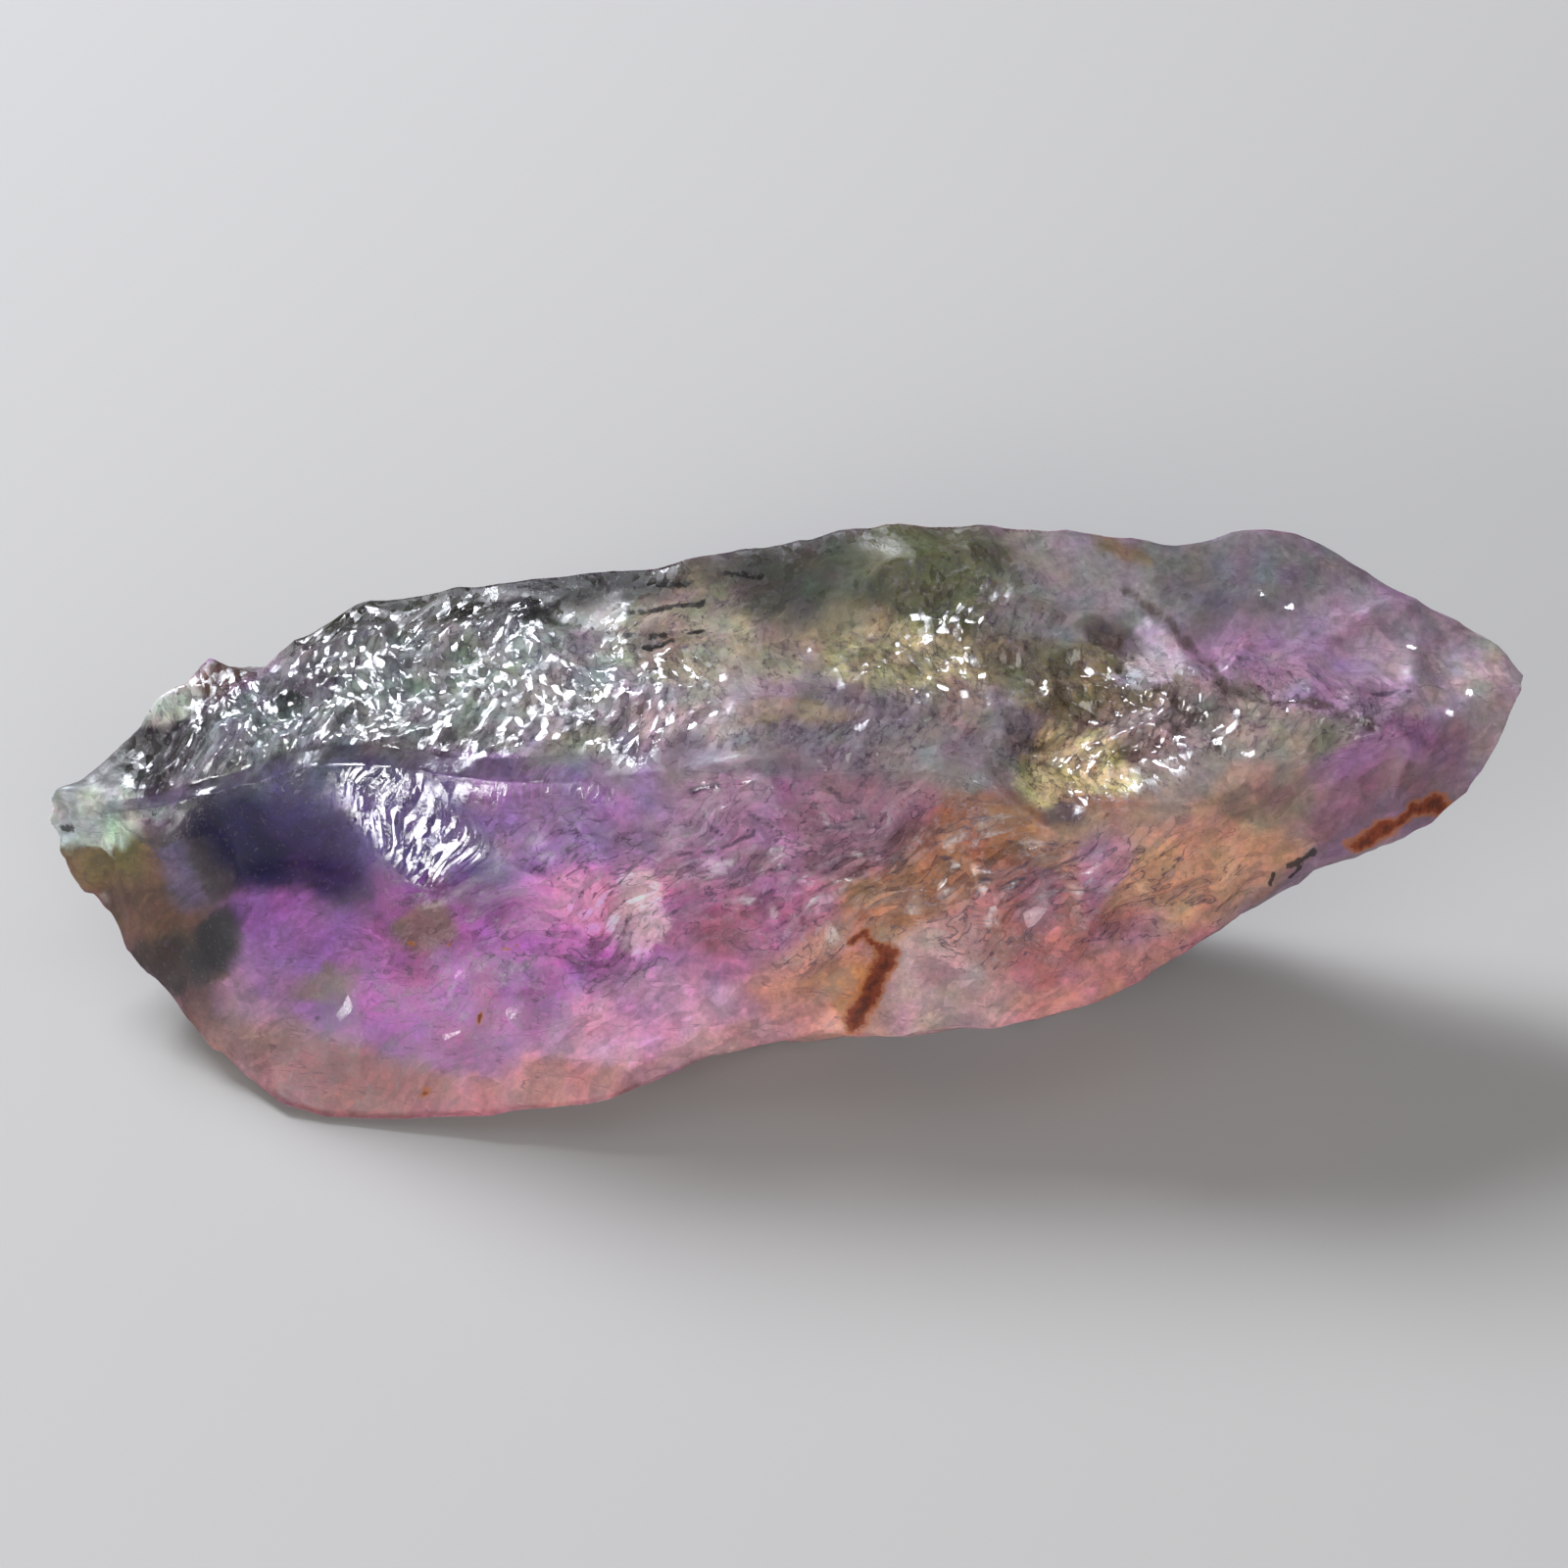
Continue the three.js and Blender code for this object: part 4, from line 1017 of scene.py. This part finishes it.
def frosted(tree, grain, numbers, chip_number, rust):
    """The shader's roughness: frosted, but glossy on some chips, fewer on the front, and dull on rust."""
    uneven = add(tree, "MapRange", (grain, 0.3, 0.7, 0.8, 1.2))
    frost = add(tree, "Math", (numbers["frost"], uneven), operation="MULTIPLY")
    glossy_share = add(tree, "MapRange", (numbers["front"], 0.0, 1.0, 0.45, 0.03))
    above = add(tree, "Math", (chip_number, glossy_share), operation="SUBTRACT")
    matt_chips = add(tree, "MapRange", (above, -0.03, 0.03, 0.45, 1.0))
    unbroken = add(tree, "MapRange", (numbers["broken"], 0.25, 0.45, 1.0, 0.0))
    matt = add(tree, "Math", (matt_chips, unbroken), operation="MAXIMUM")
    rough = add(tree, "Math", (frost, matt), operation="MULTIPLY")
    dull = add(tree, "MapRange", (rust, 0.0, 0.3, 0.0, 0.8))
    return add(tree, "Math", (rough, dull), operation="MAXIMUM")


def chip_facing(tree, chip_colour, tilt, lean, grit):
    """The way each place faces: each chip turned its own way, then by its place's lean, and a light bump."""
    own_way = add(tree, "VectorMath", (chip_colour, (0.5, 0.5, 0.5)), operation="SUBTRACT")
    own_tilt = add(tree, "VectorMath", {0: own_way, "Scale": tilt}, operation="SCALE")
    turn = add(tree, "VectorMath", (own_tilt, lean), operation="ADD")
    normal = add(tree, "NewGeometry").outputs["Normal"]
    turned_normal = add(tree, "VectorMath", (normal, turn), operation="ADD")
    facing = add(tree, "VectorMath", (turned_normal,), operation="NORMALIZE")
    return add(tree, "Bump", {"Height": grit, "Normal": facing, "Strength": 0.3, "Distance": BUMP_DEPTH})


def quartz():
    """Ametrine, broken and never polished: glossy conchoidal breaks, frosted crests with a painted highlight,
    milky within.
    """
    material = bpy.data.materials.new("ametrine_broken_quartz")
    material.use_nodes = True
    tree = material.node_tree
    tree.nodes.clear()
    numbers = carried_numbers(tree)
    vectors = carried_vectors(tree)
    broken = numbers["broken"]
    metres = add(tree, "TexCoord").outputs["Object"]
    mm = add(tree, "VectorMath", {0: metres, "Scale": 1 / MM}, operation="SCALE")
    grain = add(tree, "TexNoise", {"Vector": mm, "Scale": 1 / MOTTLE, "Detail": 4.0, "Roughness": 0.7})
    grit = add(tree, "TexNoise", {"Vector": mm, "Scale": 1 / SPECK, "Detail": 2.0, "Roughness": 0.6})

    # chips: cells 0.1 to 0.8 mm wide, each with three numbers of its own, from 0 to 1
    cells = add(tree, "TexVoronoi", {"Vector": vectors["chip_place"], "Scale": 1.0})
    chip = add(tree, "SeparateColor", (cells.outputs["Color"],)).outputs

    tone = chip_tone(tree, grain, broken, chip[0], cells.outputs["Distance"])
    colour = add(tree, "VectorMath", {0: vectors["zone"], "Scale": tone}, operation="SCALE")
    dark_stroke, pale_stroke = chip_strokes(tree, vectors["chip_place"], chip[1], broken)
    dark_speck, pale_speck = specks(tree, grit, broken)
    # pale coat: crests lightened partly by frost and partly as a painted highlight, pale specks as painted
    # glints, pale strokes as painted highlights
    pale = add(tree, "MapRange", (numbers["crest"], 0.25, 0.5, 0.0, 0.18))
    for share in pale_speck, pale_stroke:
        pale = add(tree, "Math", (pale, share), operation="MAXIMUM")
    # dark coat: cracks, hairlines and dark specks, and the dark strokes' painted shade under small steps
    dark = add(tree, "MapRange", (numbers["crack"], 0.0, 0.5, 0.0, 0.7))
    for share in hairlines(tree, mm, grain), dark_stroke, dark_speck:
        dark = add(tree, "Math", (dark, share), operation="MAXIMUM")
    # the folds' coat is painted shade in their crease, tinted brown; the rust and ink coats are real stains
    nearness = stain_and_crease_shade_nearness(tree, grain, numbers)
    coats = [(pale, CREST_AND_GLINT_COLOUR), (dark, CRACK_AND_STEP_SHADE_COLOUR)]
    for kind, low, high, strength, hex_colour in STAINS_AND_CREASE_SHADE:
        coats.append((add(tree, "MapRange", (nearness[kind], low, high, 0.0, strength)), hex_colour))
    for share, hex_colour in coats:
        colour = add(tree, "Mix", {0: share, 6: colour, 7: linear(hex_colour)}, data_type="RGBA").outputs[2]

    facing = chip_facing(tree, cells.outputs["Color"], numbers["tilt"], vectors["lean"], grit)
    shader = add(tree, "BsdfPrincipled", {
        "Base Color": colour,
        "Roughness": frosted(tree, grain, numbers, chip[2], nearness["rust"]),
        "Normal": facing,
        "IOR": QUARTZ_IOR,
        "Transmission Weight": SEE_THROUGH,
        "Subsurface Weight": 1.0,
        "Subsurface Radius": MILK_RADIUS,
        "Subsurface Scale": MILK_SCALE,
    })
    absorption = {"Color": linear(ABSORPTION_COLOUR), "Density": ABSORPTION_DENSITY}
    absorb = add(tree, "VolumeAbsorption", absorption)
    add(tree, "OutputMaterial", {"Surface": shader, "Volume": absorb})
    return material


def pale_card():
    """Pale matt card, with no pattern."""
    material = bpy.data.materials.new("pale_card")
    material.use_nodes = True
    shader = material.node_tree.nodes["Principled BSDF"]
    shader.inputs["Base Color"].default_value = linear(CARD_COLOUR)
    shader.inputs["Roughness"].default_value = 0.85
    return material


# Floor, light and camera

def new_floor():
    """A flat square, 2 m wide, at the height that the stone rests on."""
    half = 1.0
    mesh = bpy.data.meshes.new("floor")
    corners = [(-half, -half, 0), (half, -half, 0), (half, half, 0), (-half, half, 0)]
    mesh.from_pydata(corners, [], [(0, 1, 2, 3)])
    mesh.materials.append(pale_card())
    return placed("floor", mesh)


def aim(lamp, target):
    """Turns a lamp so that its -z axis points at a place."""
    way = np.array(target) - np.array(lamp.location)
    flat = math.hypot(way[0], way[1])
    lamp.rotation_euler = (math.atan2(flat, -way[2]), 0, math.atan2(way[1], way[0]) - math.pi / 2)


def softbox(name, location, size, power, hex_colour):
    """A square area lamp that faces the stone."""
    lamp = bpy.data.lights.new(name, "AREA")
    lamp.shape = "SQUARE"
    lamp.size = size
    lamp.energy = power
    lamp.color = linear(hex_colour)[:3]
    holder = placed(name, lamp)
    holder.location = location
    aim(holder, LIT_PLACE)


def light_scene():
    """The lamps, and an even grey room around."""
    for lamp in LAMPS:
        softbox(*lamp)
    world = bpy.data.worlds.new("room")
    world.use_nodes = True
    background = world.node_tree.nodes["Background"].inputs
    background["Color"].default_value = linear(ROOM_COLOUR)
    background["Strength"].default_value = ROOM_STRENGTH
    bpy.context.scene.world = world
    bpy.context.scene.view_settings.view_transform = "Standard"


def place_camera():
    """The photo's view, level from side to side."""
    data = bpy.data.cameras.new("photo_view")
    data.sensor_width = SENSOR_MM
    data.lens = SENSOR_MM * VIEW_DISTANCE * PIXELS_PER_METRE / FRAME_PIXELS
    data.clip_start = NEAREST_SEEN
    camera = placed("photo_view", data)
    camera.location = np.array(VIEW_TARGET) + VIEW_DISTANCE * TOWARD
    camera.rotation_euler = (math.pi / 2 - VIEW_ELEVATION, 0, 0)
    bpy.context.scene.camera = camera


place_camera()
light_scene()
new_floor()
stone = new_stone()
stone.data.materials.append(quartz())
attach(stone, "root")
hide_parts("ametrine")
